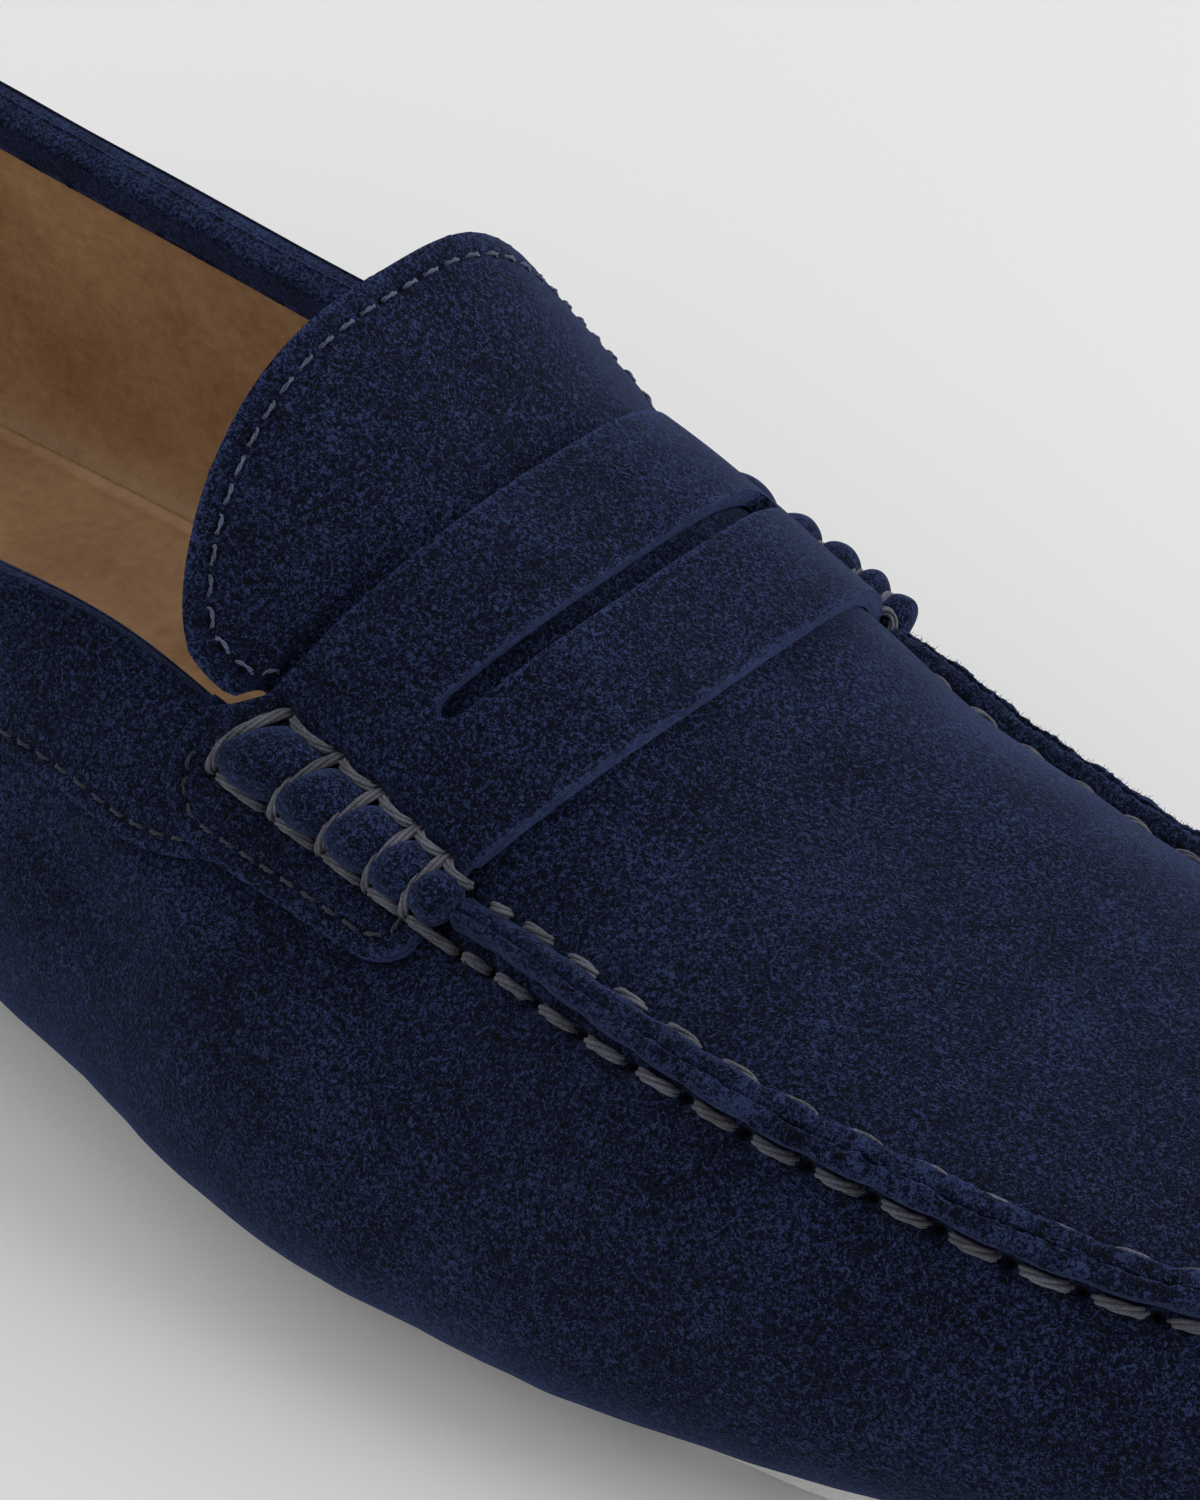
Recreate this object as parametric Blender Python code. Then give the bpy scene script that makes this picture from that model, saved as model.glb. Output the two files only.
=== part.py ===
# A suede penny driving moccasin for the right foot, standing empty on its studded rubber sole.
import bisect
import functools
import math

import bmesh
import bpy
import numpy as np

# Driving sizes of the last, in metres. X runs from the heel to the toe, Y to the inner side, Z up.
SHOE_LENGTH = 0.292
BALL_WIDTH = 0.100
HEEL_WIDTH = 0.070
INSTEP_HEIGHT = 0.0643
SEAM_HEIGHT = 0.043
BACK_HEIGHT = 0.062
HEEL_LIFT = 0.0035
TOE_SPRING = 0.007
ARCH_RISE = 0.0025

# The upper's leather, and the tuck of the wall under the foot.
WALL = 0.0020
WALL_BULGE = 0.0085
WALL_TUCK = 0.0070
LASTING_MARGIN = 0.0090
CLEARANCE = 0.0003

# The rubber sole.
SOLE_PLATE = 0.0033
SOLE_INSET = 0.0088
SOLE_TOE_INSET = 0.0040
SOLE_LIP = 0.0007
STUD_HEIGHT = 0.0025
STUD_WIDTH = 0.0100
STUD_PITCH = 0.0145
STUD_SIDES = 8
STUD_PROFILE = ((0.40, -1.0), (0.48, -0.7), (0.50, 0.46))
STUD_ROWS = ((0.055, 0.27), (0.60, 0.94))
BALL_PLACE = 0.68
INSOLE_THICKNESS = 0.0030
INSOLE_INSET = 0.0075

# The strap, its rounded tabs and the slot across it.
STRAP_REAR = 0.1530
STRAP_WIDTH = 0.0270
STRAP_BOW = 0.0090
STRAP_THICKNESS = 0.0020
TAB_DROP = 0.0120
TAB_RISE = 0.0024
TAB_FLARE = 0.0052
TAB_CORNER = 0.0085
SLOT_WIDTH = 0.0024
SLOT_REACH = 0.70
SLOT_SHIFT = -0.044
STRAP_CROSSING = 0.88
THROAT_SHARE = 0.45

# The rolled ends of the strap, the raised seam round the apron, the collar band and the tongue.
ROLL_REACH = 0.0008
ROLL_NOSE = 0.0022
ROLL_DROP_OUTER = 0.0004
ROLL_DROP_INNER = 0.0024
ROLL_LIFT = 0.0004
ROLL_WAIST = 0.80
ROLL_TIP = 0.60
ROLL_RISE = 0.95
ROLL_REAR_WIDTH = 0.0100
ROLL_FRONT_WIDTH = 0.0064
ROLL_LOBES = 5
RIDGE_WIDTH = 0.0034
RIDGE_HEIGHT = 0.0028
COLLAR_DEPTH = 0.0168
COLLAR_THICKNESS = 0.0014
COLLAR_HOOK = 0.0175
COLLAR_FOLLOW = 0.84
COLLAR_RISE = 0.0036
COLLAR_ROWS = (0.0, 0.22, 0.50, 0.68, 0.84, 1.0)
TONGUE_LENGTH = 0.0245
TONGUE_SLOPE = math.radians(39)
TONGUE_SPREAD = 0.9355
TONGUE_EDGE = 0.9455
TONGUE_POWER = 2.95
TONGUE_SWELL = 0.0046
TONGUE_CLEAR = 0.35
TONGUE_BEND = 0.0012
TONGUE_THICKNESS = 0.0022

# One row for each section of the last. at is a share of the length. ball blends the heel's sizes
# (0) into the ball's (1). outer and inner are half widths, as shares of that blended width.
# rim_outer and rim_inner place the topline or apron seam, as shares of the half width, and
# rise_outer and rise_inner its height, as shares of the blended back and seam heights.
# crest is a share of the instep height, and lift, arch and spring are shares of their own sizes.
COLUMNS = (
    "at", "ball", "outer", "inner", "rim_outer", "rim_inner",
    "rise_outer", "rise_inner", "crest", "lift", "arch", "spring",
)
SECTIONS = (
    (0.00, 0.00, 0.505, 0.480, 0.840, 0.840, 1.000, 1.000, 1.30, 1.00, 0.0, 0.00),
    (0.12, 0.00, 0.505, 0.480, 0.845, 0.850, 0.965, 0.965, 1.30, 1.00, 0.0, 0.00),
    (0.26, 0.10, 0.533, 0.460, 0.820, 0.866, 0.945, 0.945, 1.28, 0.95, 0.0, 0.00),
    (0.38, 0.35, 0.539, 0.424, 0.747, 0.824, 0.990, 0.990, 1.22, 0.70, 0.8, 0.00),
    (0.47, 0.65, 0.551, 0.398, 0.658, 0.755, 1.067, 1.050, 1.11, 0.35, 1.0, 0.00),
    (0.56, 0.90, 0.572, 0.422, 0.615, 0.720, 1.036, 0.920, 1.018, 0.10, 0.5, 0.00),
    (0.63, 1.00, 0.564, 0.447, 0.619, 0.640, 0.984, 0.895, 0.888, 0.00, 0.0, 0.00),
    (0.70, 1.00, 0.543, 0.463, 0.687, 0.590, 0.998, 0.825, 0.770, 0.00, 0.0, 0.00),
    (0.78, 0.95, 0.491, 0.463, 0.756, 0.600, 0.951, 0.760, 0.690, 0.00, 0.0, 0.07),
    (0.84, 0.90, 0.444, 0.449, 0.768, 0.630, 0.886, 0.745, 0.645, 0.00, 0.0, 0.22),
    (0.88, 0.88, 0.424, 0.434, 0.775, 0.680, 0.850, 0.740, 0.622, 0.00, 0.0, 0.38),
    (1.00, 0.80, 0.390, 0.398, 0.710, 0.710, 0.662, 0.662, 0.600, 0.00, 0.0, 1.00),
)

# The crest of the last lies to the inner side: places and shares of the ball width.
SPINE = ((0.00, 0.0), (0.35, 0.010), (0.53, 0.045), (0.64, 0.045), (0.84, 0.030), (1.00, 0.030))
HEEL_CENTRE = 0.120
TOE_CENTRE = 0.836
CROWN_POWER = 3.0
WALL_POWER = 1.8
BULGE_LEVEL = 0.35
RIM_LEVEL = 1.0
CREST_LEVEL = 2.0

OUTER = -1
INNER = 1


def smooth(places, values):
    """A monotone cubic through the rows, as a function of the share of the length."""
    steps = [b - a for a, b in zip(places, places[1:])]
    slopes = [(b - a) / step for a, b, step in zip(values, values[1:], steps)]
    tangents = [slopes[0]]
    for i in range(1, len(steps)):
        before, after = slopes[i - 1], slopes[i]
        first = 2 * steps[i] + steps[i - 1]
        second = steps[i] + 2 * steps[i - 1]
        level = before * after <= 0
        tangents.append(0.0 if level else (first + second) / (first / before + second / after))
    tangents.append(slopes[-1])

    def at(x):
        x = min(max(x, places[0]), places[-1])
        i = min(bisect.bisect_right(places, x) - 1, len(steps) - 1)
        t = (x - places[i]) / steps[i]
        start = values[i] * (1 + 2 * t) + steps[i] * tangents[i] * t
        end = values[i + 1] * (3 - 2 * t) - steps[i] * tangents[i + 1] * (1 - t)
        return start * (1 - t) ** 2 + end * t * t

    return at


PLACES = [row[0] for row in SECTIONS]
CURVES = {name: smooth(PLACES, [row[i] for row in SECTIONS]) for i, name in enumerate(COLUMNS)}
SPINE_CURVE = smooth([row[0] for row in SPINE], [row[1] for row in SPINE])


def share(name, x):
    return CURVES[name](x / SHOE_LENGTH)


def spine_y(x):
    return BALL_WIDTH * SPINE_CURVE(x / SHOE_LENGTH)


def blended(heel_size, ball_size, x):
    ball = share("ball", x)
    return heel_size * (1 - ball) + ball_size * ball


def sole_top(x):
    lifted = HEEL_LIFT * share("lift", x) + TOE_SPRING * share("spring", x)
    return STUD_HEIGHT + SOLE_PLATE + lifted


def sole_bottom(x):
    return STUD_HEIGHT + ARCH_RISE * share("arch", x) + TOE_SPRING * share("spring", x)


def crest_height(x):
    return INSTEP_HEIGHT * share("crest", x)


class Ray:
    """The line from the last's spine to its outline, at a place along one side."""

    def __init__(self, side, along):
        heel = HEEL_CENTRE * SHOE_LENGTH
        toe = TOE_CENTRE * SHOE_LENGTH
        centre_x = min(max(along, heel), toe)
        if along < heel:
            turn = (heel - along) / heel * math.pi / 2
            x = heel - heel * math.sin(turn)
        elif along > toe:
            turn = (along - toe) / (SHOE_LENGTH - toe) * math.pi / 2
            x = toe + (SHOE_LENGTH - toe) * math.sin(turn)
        else:
            turn = 0.0
            x = along
        half = "outer" if side == OUTER else "inner"
        width = blended(HEEL_WIDTH, BALL_WIDTH, x) * share(half, x) * math.cos(turn)
        self.x = centre_x
        self.y = spine_y(centre_x)
        offset = np.array([x - centre_x, side * width])
        self.radius = float(np.linalg.norm(offset))
        self.way = offset / self.radius
        self.rim = self.radius * share("rim_" + half, x)
        self.rim_height = blended(BACK_HEIGHT, SEAM_HEIGHT, x) * share("rise_" + half, x)

    def place(self, reach, height):
        return np.array([self.x + self.way[0] * reach, self.y + self.way[1] * reach, height])

    def x_at(self, reach):
        return self.x + self.way[0] * reach


def last_point(side, along, level):
    """The upper's outer surface: -1 to 0 is the margin under the foot, 0 to 1 the wall, and 1 to 2
    the apron or tongue, up to the crest."""
    ray = Ray(side, along)
    foot = ray.radius - WALL_TUCK
    if level <= 0:
        reach = foot + level * LASTING_MARGIN
        return ray.place(reach, sole_top(ray.x_at(reach)))
    ground = sole_top(ray.x_at(foot))
    bulge = ground + WALL_BULGE
    if level <= BULGE_LEVEL:
        turn = level / BULGE_LEVEL * math.pi / 2
        return ray.place(foot + WALL_TUCK * math.sin(turn), bulge - WALL_BULGE * math.cos(turn))
    if level <= RIM_LEVEL:
        up = (level - BULGE_LEVEL) / (RIM_LEVEL - BULGE_LEVEL)
        reach = ray.radius - (ray.radius - ray.rim) * up**WALL_POWER
        return ray.place(reach, bulge + (ray.rim_height - bulge) * up)
    out = CREST_LEVEL - level
    near = 0.001 * SHOE_LENGTH
    fall = (crest_height(ray.x + near) - crest_height(ray.x - near)) / (2 * near)
    tilt = fall * ray.way[0] * ray.rim
    drop = crest_height(ray.x) + tilt - ray.rim_height
    return ray.place(ray.rim * out, crest_height(ray.x) + tilt * out - drop * out**CROWN_POWER)


def last_normal(side, along, level):
    """The direction straight out of the surface, by small steps along and across it."""
    level = min(level, CREST_LEVEL - 0.02)
    step = 0.002 * SHOE_LENGTH
    low, high = max(along - step, 0.0), min(along + step, SHOE_LENGTH)
    forward = last_point(side, high, level) - last_point(side, low, level)
    upward = last_point(side, along, level + 0.01) - last_point(side, along, level - 0.01)
    normal = np.cross(upward, forward) * side
    return normal / np.linalg.norm(normal)


def lifted(side, along, level, height):
    return last_point(side, along, level) + last_normal(side, along, level) * height


@functools.lru_cache(maxsize=None)
def girth(side, along):
    """Levels from the foot to the crest, and how far over the leather each lies from the rim."""
    levels = np.linspace(0.0, CREST_LEVEL, 81)
    points = np.array([last_point(side, along, level) for level in levels])
    lengths = np.concatenate([[0], np.cumsum(np.linalg.norm(np.diff(points, axis=0), axis=1))])
    return levels, lengths - np.interp(RIM_LEVEL, levels, lengths)


def level_at(side, along, distance):
    """The level that lies this far above (or below) the rim, measured over the leather."""
    levels, lengths = girth(side, along)
    return float(np.interp(distance, lengths, levels))


def crown(out):
    """How high a point of the instep stands between the rim (0) and the crest (1)."""
    return 1 - min(abs(out), 1.0) ** CROWN_POWER


def spaced(start, end, count):
    return [start + (end - start) * i / count for i in range(count + 1)]


def stations(start, end):
    """Places along one side, closer together round the heel and the toe."""
    heel = HEEL_CENTRE * SHOE_LENGTH
    toe = TOE_CENTRE * SHOE_LENGTH
    middle = 22
    every = spaced(0, heel, 7)[:-1] + spaced(heel, toe, middle)[:-1] + spaced(toe, SHOE_LENGTH, 9)
    apart = (toe - heel) / middle / 3
    inside = [place for place in every if start + apart < place < end - apart]
    return [start] + inside + [end]


def round_trip(start, end):
    """Along the outer side from start, round the toe, and back along the inner side."""
    there = [(OUTER, place) for place in stations(start, end)]
    back = [(INNER, place) for place in reversed(stations(start, end))]
    return there + back[1:]


def grid_mesh(bm, rows, closed=False, skip=()):
    """Quads between rows of points. Points that fall together are merged afterwards."""
    made = [[bm.verts.new(point) for point in row] for row in rows]
    count = len(rows[0])
    for i in range(len(rows) - 1):
        for j in range(count if closed else count - 1):
            if (i, j) in skip:
                continue
            k = (j + 1) % count
            bm.faces.new((made[i][j], made[i][k], made[i + 1][k], made[i + 1][j]))
    return made


def finished(name, bm, colour, roughness, thickness=0.0):
    """Merges, makes the object with its material, and thickens an open skin on its inner side."""
    bmesh.ops.remove_doubles(bm, verts=bm.verts, dist=1e-6)
    bmesh.ops.dissolve_degenerate(bm, edges=bm.edges, dist=1e-7)
    mesh = bpy.data.meshes.new(name)
    bm.to_mesh(mesh)
    bm.free()
    mesh.shade_smooth()
    body = bpy.data.objects.new(name, mesh)
    bpy.context.collection.objects.link(body)
    material = bpy.data.materials.new(name)
    material.use_nodes = True
    shader = material.node_tree.nodes["Principled BSDF"]
    shader.inputs["Base Color"].default_value = (*colour, 1)
    shader.inputs["Roughness"].default_value = roughness
    mesh.materials.append(material)
    if thickness:
        skin = body.modifiers.new("leather", "SOLIDIFY")
        skin.thickness = thickness
        skin.offset = -1
        skin.use_even_offset = True
    return body


SUEDE = (0.0100, 0.0140, 0.0330)
SUEDE_DARK = (0.0070, 0.0100, 0.0250)
RUBBER = (0.48, 0.48, 0.47)
TAN = (0.42, 0.25, 0.13)


def throat():
    """Where the opening's front edge crosses the crest, under the middle of the strap."""
    return STRAP_REAR + STRAP_WIDTH * THROAT_SHARE


def make_upper():
    """Wall, quarters and apron in one hollow skin, open at the collar and under the foot."""
    bm = bmesh.new()
    levels = (-1, 0, 0.12, 0.24, BULGE_LEVEL, 0.5, 0.65, 0.8, 0.92, RIM_LEVEL)
    ring = round_trip(0.0, SHOE_LENGTH)[:-1]
    grid_mesh(bm, [[last_point(*place, level) for place in ring] for level in levels], closed=True)
    across = (1.0, 1.08, 1.18, 1.32, 1.5, 1.75, CREST_LEVEL)
    rows = []
    for along in [place for place in stations(0.0, SHOE_LENGTH) if place > throat()]:
        outer = [last_point(OUTER, along, level) for level in across]
        inner = [last_point(INNER, along, level) for level in reversed(across)]
        rows.append(outer + inner[1:])
    grid_mesh(bm, rows)
    orient(bm, last_point(OUTER, 0.5 * SHOE_LENGTH, 0.5), last_normal(OUTER, 0.5 * SHOE_LENGTH, 0.5))
    return finished("upper", bm, SUEDE, 0.95, WALL)


def orient(bm, near, outward):
    """Merges the skin, makes its faces agree, and turns them to face outward."""
    bmesh.ops.remove_doubles(bm, verts=bm.verts, dist=1e-6)
    bmesh.ops.dissolve_degenerate(bm, edges=bm.edges, dist=1e-7)
    bmesh.ops.recalc_face_normals(bm, faces=bm.faces)
    face = min(bm.faces, key=lambda f: float(np.linalg.norm(np.array(f.calc_center_median()) - near)))
    if float(np.dot(np.array(face.normal), outward)) < 0:
        bmesh.ops.reverse_faces(bm, faces=bm.faces)


def closed_body(rows):
    """A solid from closed sections, with its first and last section filled in."""
    bm = bmesh.new()
    made = grid_mesh(bm, rows, closed=True)
    bm.faces.new(list(reversed(made[0])))
    bm.faces.new(made[-1])
    bmesh.ops.recalc_face_normals(bm, faces=bm.faces)
    return bm


def sole_point(side, along, inset, out, height):
    ray = Ray(side, along)
    reach = (ray.radius - inset) * out
    return ray.place(reach, height(ray.x_at(reach)))


def sole_inset(along):
    toe = TOE_CENTRE * SHOE_LENGTH
    ball = BALL_PLACE * SHOE_LENGTH
    share_of_toe = min(max((along - ball) / (toe - ball), 0.0), 1.0)
    return SOLE_INSET + (SOLE_TOE_INSET - SOLE_INSET) * share_of_toe


def plate(name, top, bottom, inset, side_rows, colour, roughness):
    """A curved plate with the foot's outline. Each side row is a share of the way down and a step out."""
    bm = bmesh.new()
    ring = round_trip(0.0, SHOE_LENGTH)[:-1]
    fill = (0.0, 0.5)
    rows = [[sole_point(*place, inset(place[1]), out, top) for place in ring] for out in fill]
    for down, step in side_rows:
        def height(x, down=down):
            return top(x) + (bottom(x) - top(x)) * down
        rows.append([sole_point(*place, inset(place[1]) - step, 1, height) for place in ring])
    low = [[sole_point(*place, inset(place[1]), out, bottom) for place in ring] for out in reversed(fill)]
    grid_mesh(bm, rows + low, closed=True)
    bmesh.ops.remove_doubles(bm, verts=bm.verts, dist=1e-6)
    bmesh.ops.dissolve_degenerate(bm, edges=bm.edges, dist=1e-7)
    bmesh.ops.recalc_face_normals(bm, faces=bm.faces)
    return finished(name, bm, colour, roughness)


def stud_places():
    """Rows of studs under the heel and the forefoot, each row centred and as wide as the sole."""
    places = []
    every = stations(0, SHOE_LENGTH)
    for start, end in STUD_ROWS:
        count = max(round((end - start) * SHOE_LENGTH / STUD_PITCH), 1)
        for x in spaced(start * SHOE_LENGTH, end * SHOE_LENGTH, count):
            edges = []
            for side in (OUTER, INNER):
                ring = np.array([sole_point(side, a, sole_inset(a), 1, sole_top) for a in every])
                order = np.argsort(ring[:, 0])
                edges.append(float(np.interp(x, ring[order, 0], ring[order, 1])))
            room = edges[1] - edges[0] - STUD_WIDTH * 1.5
            across = max(int(room / STUD_PITCH), 1)
            middle = (edges[0] + edges[1]) / 2
            gap = room / across
            places += [(x, middle + gap * (i - across / 2)) for i in range(across + 1)]
    return places


def make_studs():
    """The studs as one helper mesh, which the outsole takes in."""
    bm = bmesh.new()
    for x, y in stud_places():
        rings = []
        for wide, down in STUD_PROFILE:
            reach = STUD_WIDTH * wide
            height = sole_bottom(x) + STUD_HEIGHT * down
            turns = spaced(0, math.tau, STUD_SIDES)[:-1]
            ring = [(x + reach * math.cos(a), y + reach * math.sin(a), height) for a in turns]
            rings.append([bm.verts.new(point) for point in ring])
        bm.faces.new(list(reversed(rings[0])))
        bm.faces.new(rings[-1])
        for low, high in zip(rings, rings[1:]):
            for i in range(STUD_SIDES):
                k = (i + 1) % STUD_SIDES
                bm.faces.new((low[i], low[k], high[k], high[i]))
    bmesh.ops.recalc_face_normals(bm, faces=bm.faces)
    helper = finished("stud_shapes", bm, RUBBER, 0.6)
    helper.hide_render = True
    helper.display_type = "WIRE"
    return helper


def make_outsole():
    sides = ((0.0, SOLE_LIP), (0.36, SOLE_LIP), (0.44, 0.0), (0.85, 0.0), (1.0, -2 * SOLE_LIP))
    body = plate(
        "outsole", lambda x: sole_top(x) - CLEARANCE, sole_bottom, sole_inset, sides, RUBBER, 0.6
    )
    joined = body.modifiers.new("studs", "BOOLEAN")
    joined.operation = "UNION"
    joined.object = make_studs()
    return body


def make_insole():
    def bottom(x):
        return sole_top(x) + WALL + CLEARANCE

    def top(x):
        return bottom(x) + INSOLE_THICKNESS

    sides = ((0.0, 0.0), (1.0, 0.0))
    return plate("insole", top, bottom, lambda along: INSOLE_INSET, sides, TAN, 0.6)


def instep_place(across, behind):
    """A place on the instep: across runs from the outer rim (-1) to the inner rim (1), and behind
    is how far it lies in front of the strap's bowed rear edge."""
    side = INNER if across > 0 else OUTER
    return side, STRAP_REAR + STRAP_BOW * crown(across) + behind, CREST_LEVEL - abs(across)


def tab_pull(drop):
    """How far a tab's rounded corner draws in its edge, at a depth below the rim."""
    into = max(drop - (TAB_DROP - TAB_CORNER), 0.0)
    return TAB_CORNER - math.sqrt(max(TAB_CORNER**2 - into**2, 0.0))


def strap_rows():
    """Sections over one tab, from its end up to the instep: a distance from the rim, the rear and
    front edges there, and how much the front edge lies above that distance."""
    front = STRAP_REAR + STRAP_WIDTH
    drops = [TAB_DROP - TAB_CORNER * (1 - math.sin(turn)) for turn in spaced(math.pi / 2, 0, 4)]
    rows = []
    for drop in drops + [TAB_DROP * 0.12]:
        rear = STRAP_REAR - TAB_FLARE + tab_pull(drop)
        rows.append((-drop, rear, front - tab_pull(drop), TAB_RISE * drop / TAB_DROP))
    rows.append((TAB_FLARE * 0.35, STRAP_REAR - TAB_FLARE * 0.45, front, 0.0))
    return rows


def tab_row(side, section, shares, height):
    distance, rear, front, rise = section
    row = []
    for part in shares:
        level = level_at(side, STRAP_REAR + STRAP_WIDTH / 2, distance + rise * part)
        row.append(lifted(side, rear + (front - rear) * part, level, height))
    return row


def make_strap():
    """The strap with its tabs, over the instep from wall to wall, and open at its slot."""
    slot = SLOT_WIDTH / STRAP_WIDTH / 2
    shares = (0.0, 0.25, 0.5 - slot, 0.5 + slot, 0.75, 1.0)
    height = CLEARANCE + STRAP_THICKNESS
    crossing = spaced(-STRAP_CROSSING, STRAP_CROSSING, 20)
    rows = [tab_row(OUTER, section, shares, height) for section in strap_rows()]
    first = len(rows)
    for across in crossing:
        rows.append([lifted(*instep_place(across, STRAP_WIDTH * part), height) for part in shares])
    rows += [tab_row(INNER, section, shares, height) for section in reversed(strap_rows())]
    open_rows = [i for i, across in enumerate(crossing[:-1]) if abs(across - SLOT_SHIFT) < SLOT_REACH]
    skip = {(first + i, 2) for i in open_rows}
    bm = bmesh.new()
    grid_mesh(bm, rows, skip=skip)
    place = instep_place(-0.5, STRAP_WIDTH / 4)
    orient(bm, last_point(*place), last_normal(*place))
    return finished("strap", bm, SUEDE, 0.95, STRAP_THICKNESS)


def make_roll(name, side, drop):
    """A rolled seam over the strap's end, gathered into lobes that shrink towards the toe. Its
    middle lies at a drop below the rim."""
    start = STRAP_REAR - ROLL_REACH
    end = STRAP_REAR + STRAP_WIDTH + ROLL_NOSE
    floor = CLEARANCE + STRAP_THICKNESS + CLEARANCE
    per_lobe = 5
    steps = ROLL_LOBES * per_lobe
    rows = []
    for step in range(steps + 1):
        along = start + (end - start) * step / steps
        width = ROLL_REAR_WIDTH + (ROLL_FRONT_WIDTH - ROLL_REAR_WIDTH) * step / steps
        swell = math.sin(math.pi * (step % per_lobe) / per_lobe)
        half = width / 2 * (ROLL_WAIST + (1 - ROLL_WAIST) * swell)
        if step in (0, steps):
            half *= ROLL_TIP
        row = []
        for turn in spaced(0, math.pi, 8):
            level = level_at(side, along, -drop - half * math.cos(turn))
            row.append(lifted(side, along, level, floor + ROLL_LIFT + half * ROLL_RISE * math.sin(turn)))
        for back in (0.5, 0.0, -0.5):
            row.append(lifted(side, along, level_at(side, along, half * back - drop), floor))
        rows.append(row)
    return finished(name, closed_body(rows), SUEDE_DARK, 0.95)


def make_seam():
    """The raised seam that joins the apron to the wall, round the toe from roll to roll."""
    start = STRAP_REAR + STRAP_WIDTH + ROLL_NOSE + CLEARANCE
    half = RIDGE_WIDTH / 2
    section = (
        (-half, 0.0), (0.0, 0.0), (half, 0.0), (half, RIDGE_HEIGHT * 0.55),
        (half * 0.6, RIDGE_HEIGHT), (-half * 0.6, RIDGE_HEIGHT), (-half, RIDGE_HEIGHT * 0.55),
    )
    rows = []
    for side, along in round_trip(start, SHOE_LENGTH):
        row = []
        for across, rise in section:
            level = level_at(side, along, across)
            row.append(lifted(side, along, level, CLEARANCE + rise))
        rows.append(row)
    return finished("moc_seam", closed_body(rows), SUEDE_DARK, 0.95)


def make_collar():
    """The band round the topline, from tab to tab behind the heel."""
    end = STRAP_REAR - TAB_FLARE - 4 * CLEARANCE
    height = CLEARANCE + COLLAR_THICKNESS
    back = [(OUTER, along) for along in reversed(stations(0.0, end))]
    places = back + [(INNER, along) for along in stations(0.0, end)][1:]
    lowest = TAB_DROP - 3 * CLEARANCE
    rows = []
    for part in COLLAR_ROWS:
        row = []
        for side, along in places:
            near_tab = max(along - end + COLLAR_HOOK, 0.0) / COLLAR_HOOK
            depth = part * (COLLAR_DEPTH - COLLAR_RISE * near_tab**3)
            along += COLLAR_FOLLOW * tab_pull(min(depth, lowest)) * near_tab
            level = min(level_at(side, along, -depth), RIM_LEVEL - 0.005)
            row.append(lifted(side, along, level, height))
        rows.append(row)
    bm = bmesh.new()
    grid_mesh(bm, rows)
    orient(bm, last_point(OUTER, end / 2, 0.8), last_normal(OUTER, end / 2, 0.8))
    return finished("collar_band", bm, SUEDE, 0.95, COLLAR_THICKNESS)


def tongue_point(across, back):
    """A place on the tongue: back runs from -1 under the strap to 0 where it bends up, and on to 1
    at its edge."""
    side, rear, level = instep_place(across, -TONGUE_BEND)
    if back <= 0:
        end = throat() - CLEARANCE
        return last_point(side, rear - (end - rear) * back, level)
    outline = (1 - (abs(across) / TONGUE_EDGE) ** TONGUE_POWER) ** (1 / TONGUE_POWER) * back
    free = min(outline / TONGUE_CLEAR, 1.0) ** 2
    swell = TONGUE_SWELL * free * math.sin(math.pi * math.sqrt(outline)) * (across / TONGUE_SPREAD) ** 4
    rise = np.array([
        -TONGUE_LENGTH * outline * math.cos(TONGUE_SLOPE),
        side * swell,
        TONGUE_LENGTH * outline * math.sin(TONGUE_SLOPE),
    ])
    return last_point(side, rear, level) + rise


def make_tongue():
    """The flap behind the apron: it follows the instep under the strap, then rises clear of it."""
    spread = spaced(-TONGUE_SPREAD, TONGUE_SPREAD, 16)
    parts = [-1.0, -0.5] + spaced(0.0, 1.0, 7)
    rows = [[tongue_point(across, back) for across in spread] for back in parts]
    bm = bmesh.new()
    grid_mesh(bm, rows)
    orient(bm, last_point(*instep_place(0.1, 0.0)), np.array([0.3, 0.0, 1.0]))
    return finished("tongue", bm, SUEDE, 0.95, TONGUE_THICKNESS)


def stand_on_origin(bodies):
    """Moves the shoe so that its box stands on the origin, centred."""
    bpy.context.view_layer.update()
    graph = bpy.context.evaluated_depsgraph_get()
    points = []
    for body in bodies:
        mesh = body.evaluated_get(graph).to_mesh()
        points += [vertex.co.copy() for vertex in mesh.vertices]
    cloud = np.array(points)
    low, high = cloud.min(axis=0), cloud.max(axis=0)
    move = (-(low[0] + high[0]) / 2, -(low[1] + high[1]) / 2, -low[2])
    for body in bpy.data.objects:
        body.location = move


def main():
    for old in list(bpy.data.objects):
        bpy.data.objects.remove(old)
    bodies = [
        make_outsole(),
        make_insole(),
        make_upper(),
        make_tongue(),
        make_strap(),
        make_roll("beef_roll_outer", OUTER, ROLL_DROP_OUTER),
        make_roll("beef_roll_inner", INNER, ROLL_DROP_INNER),
        make_seam(),
        make_collar(),
    ]
    stand_on_origin(bodies)


main()
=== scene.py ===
# A navy suede penny driving moccasin, right foot, empty on its studded sole.
import math

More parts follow.
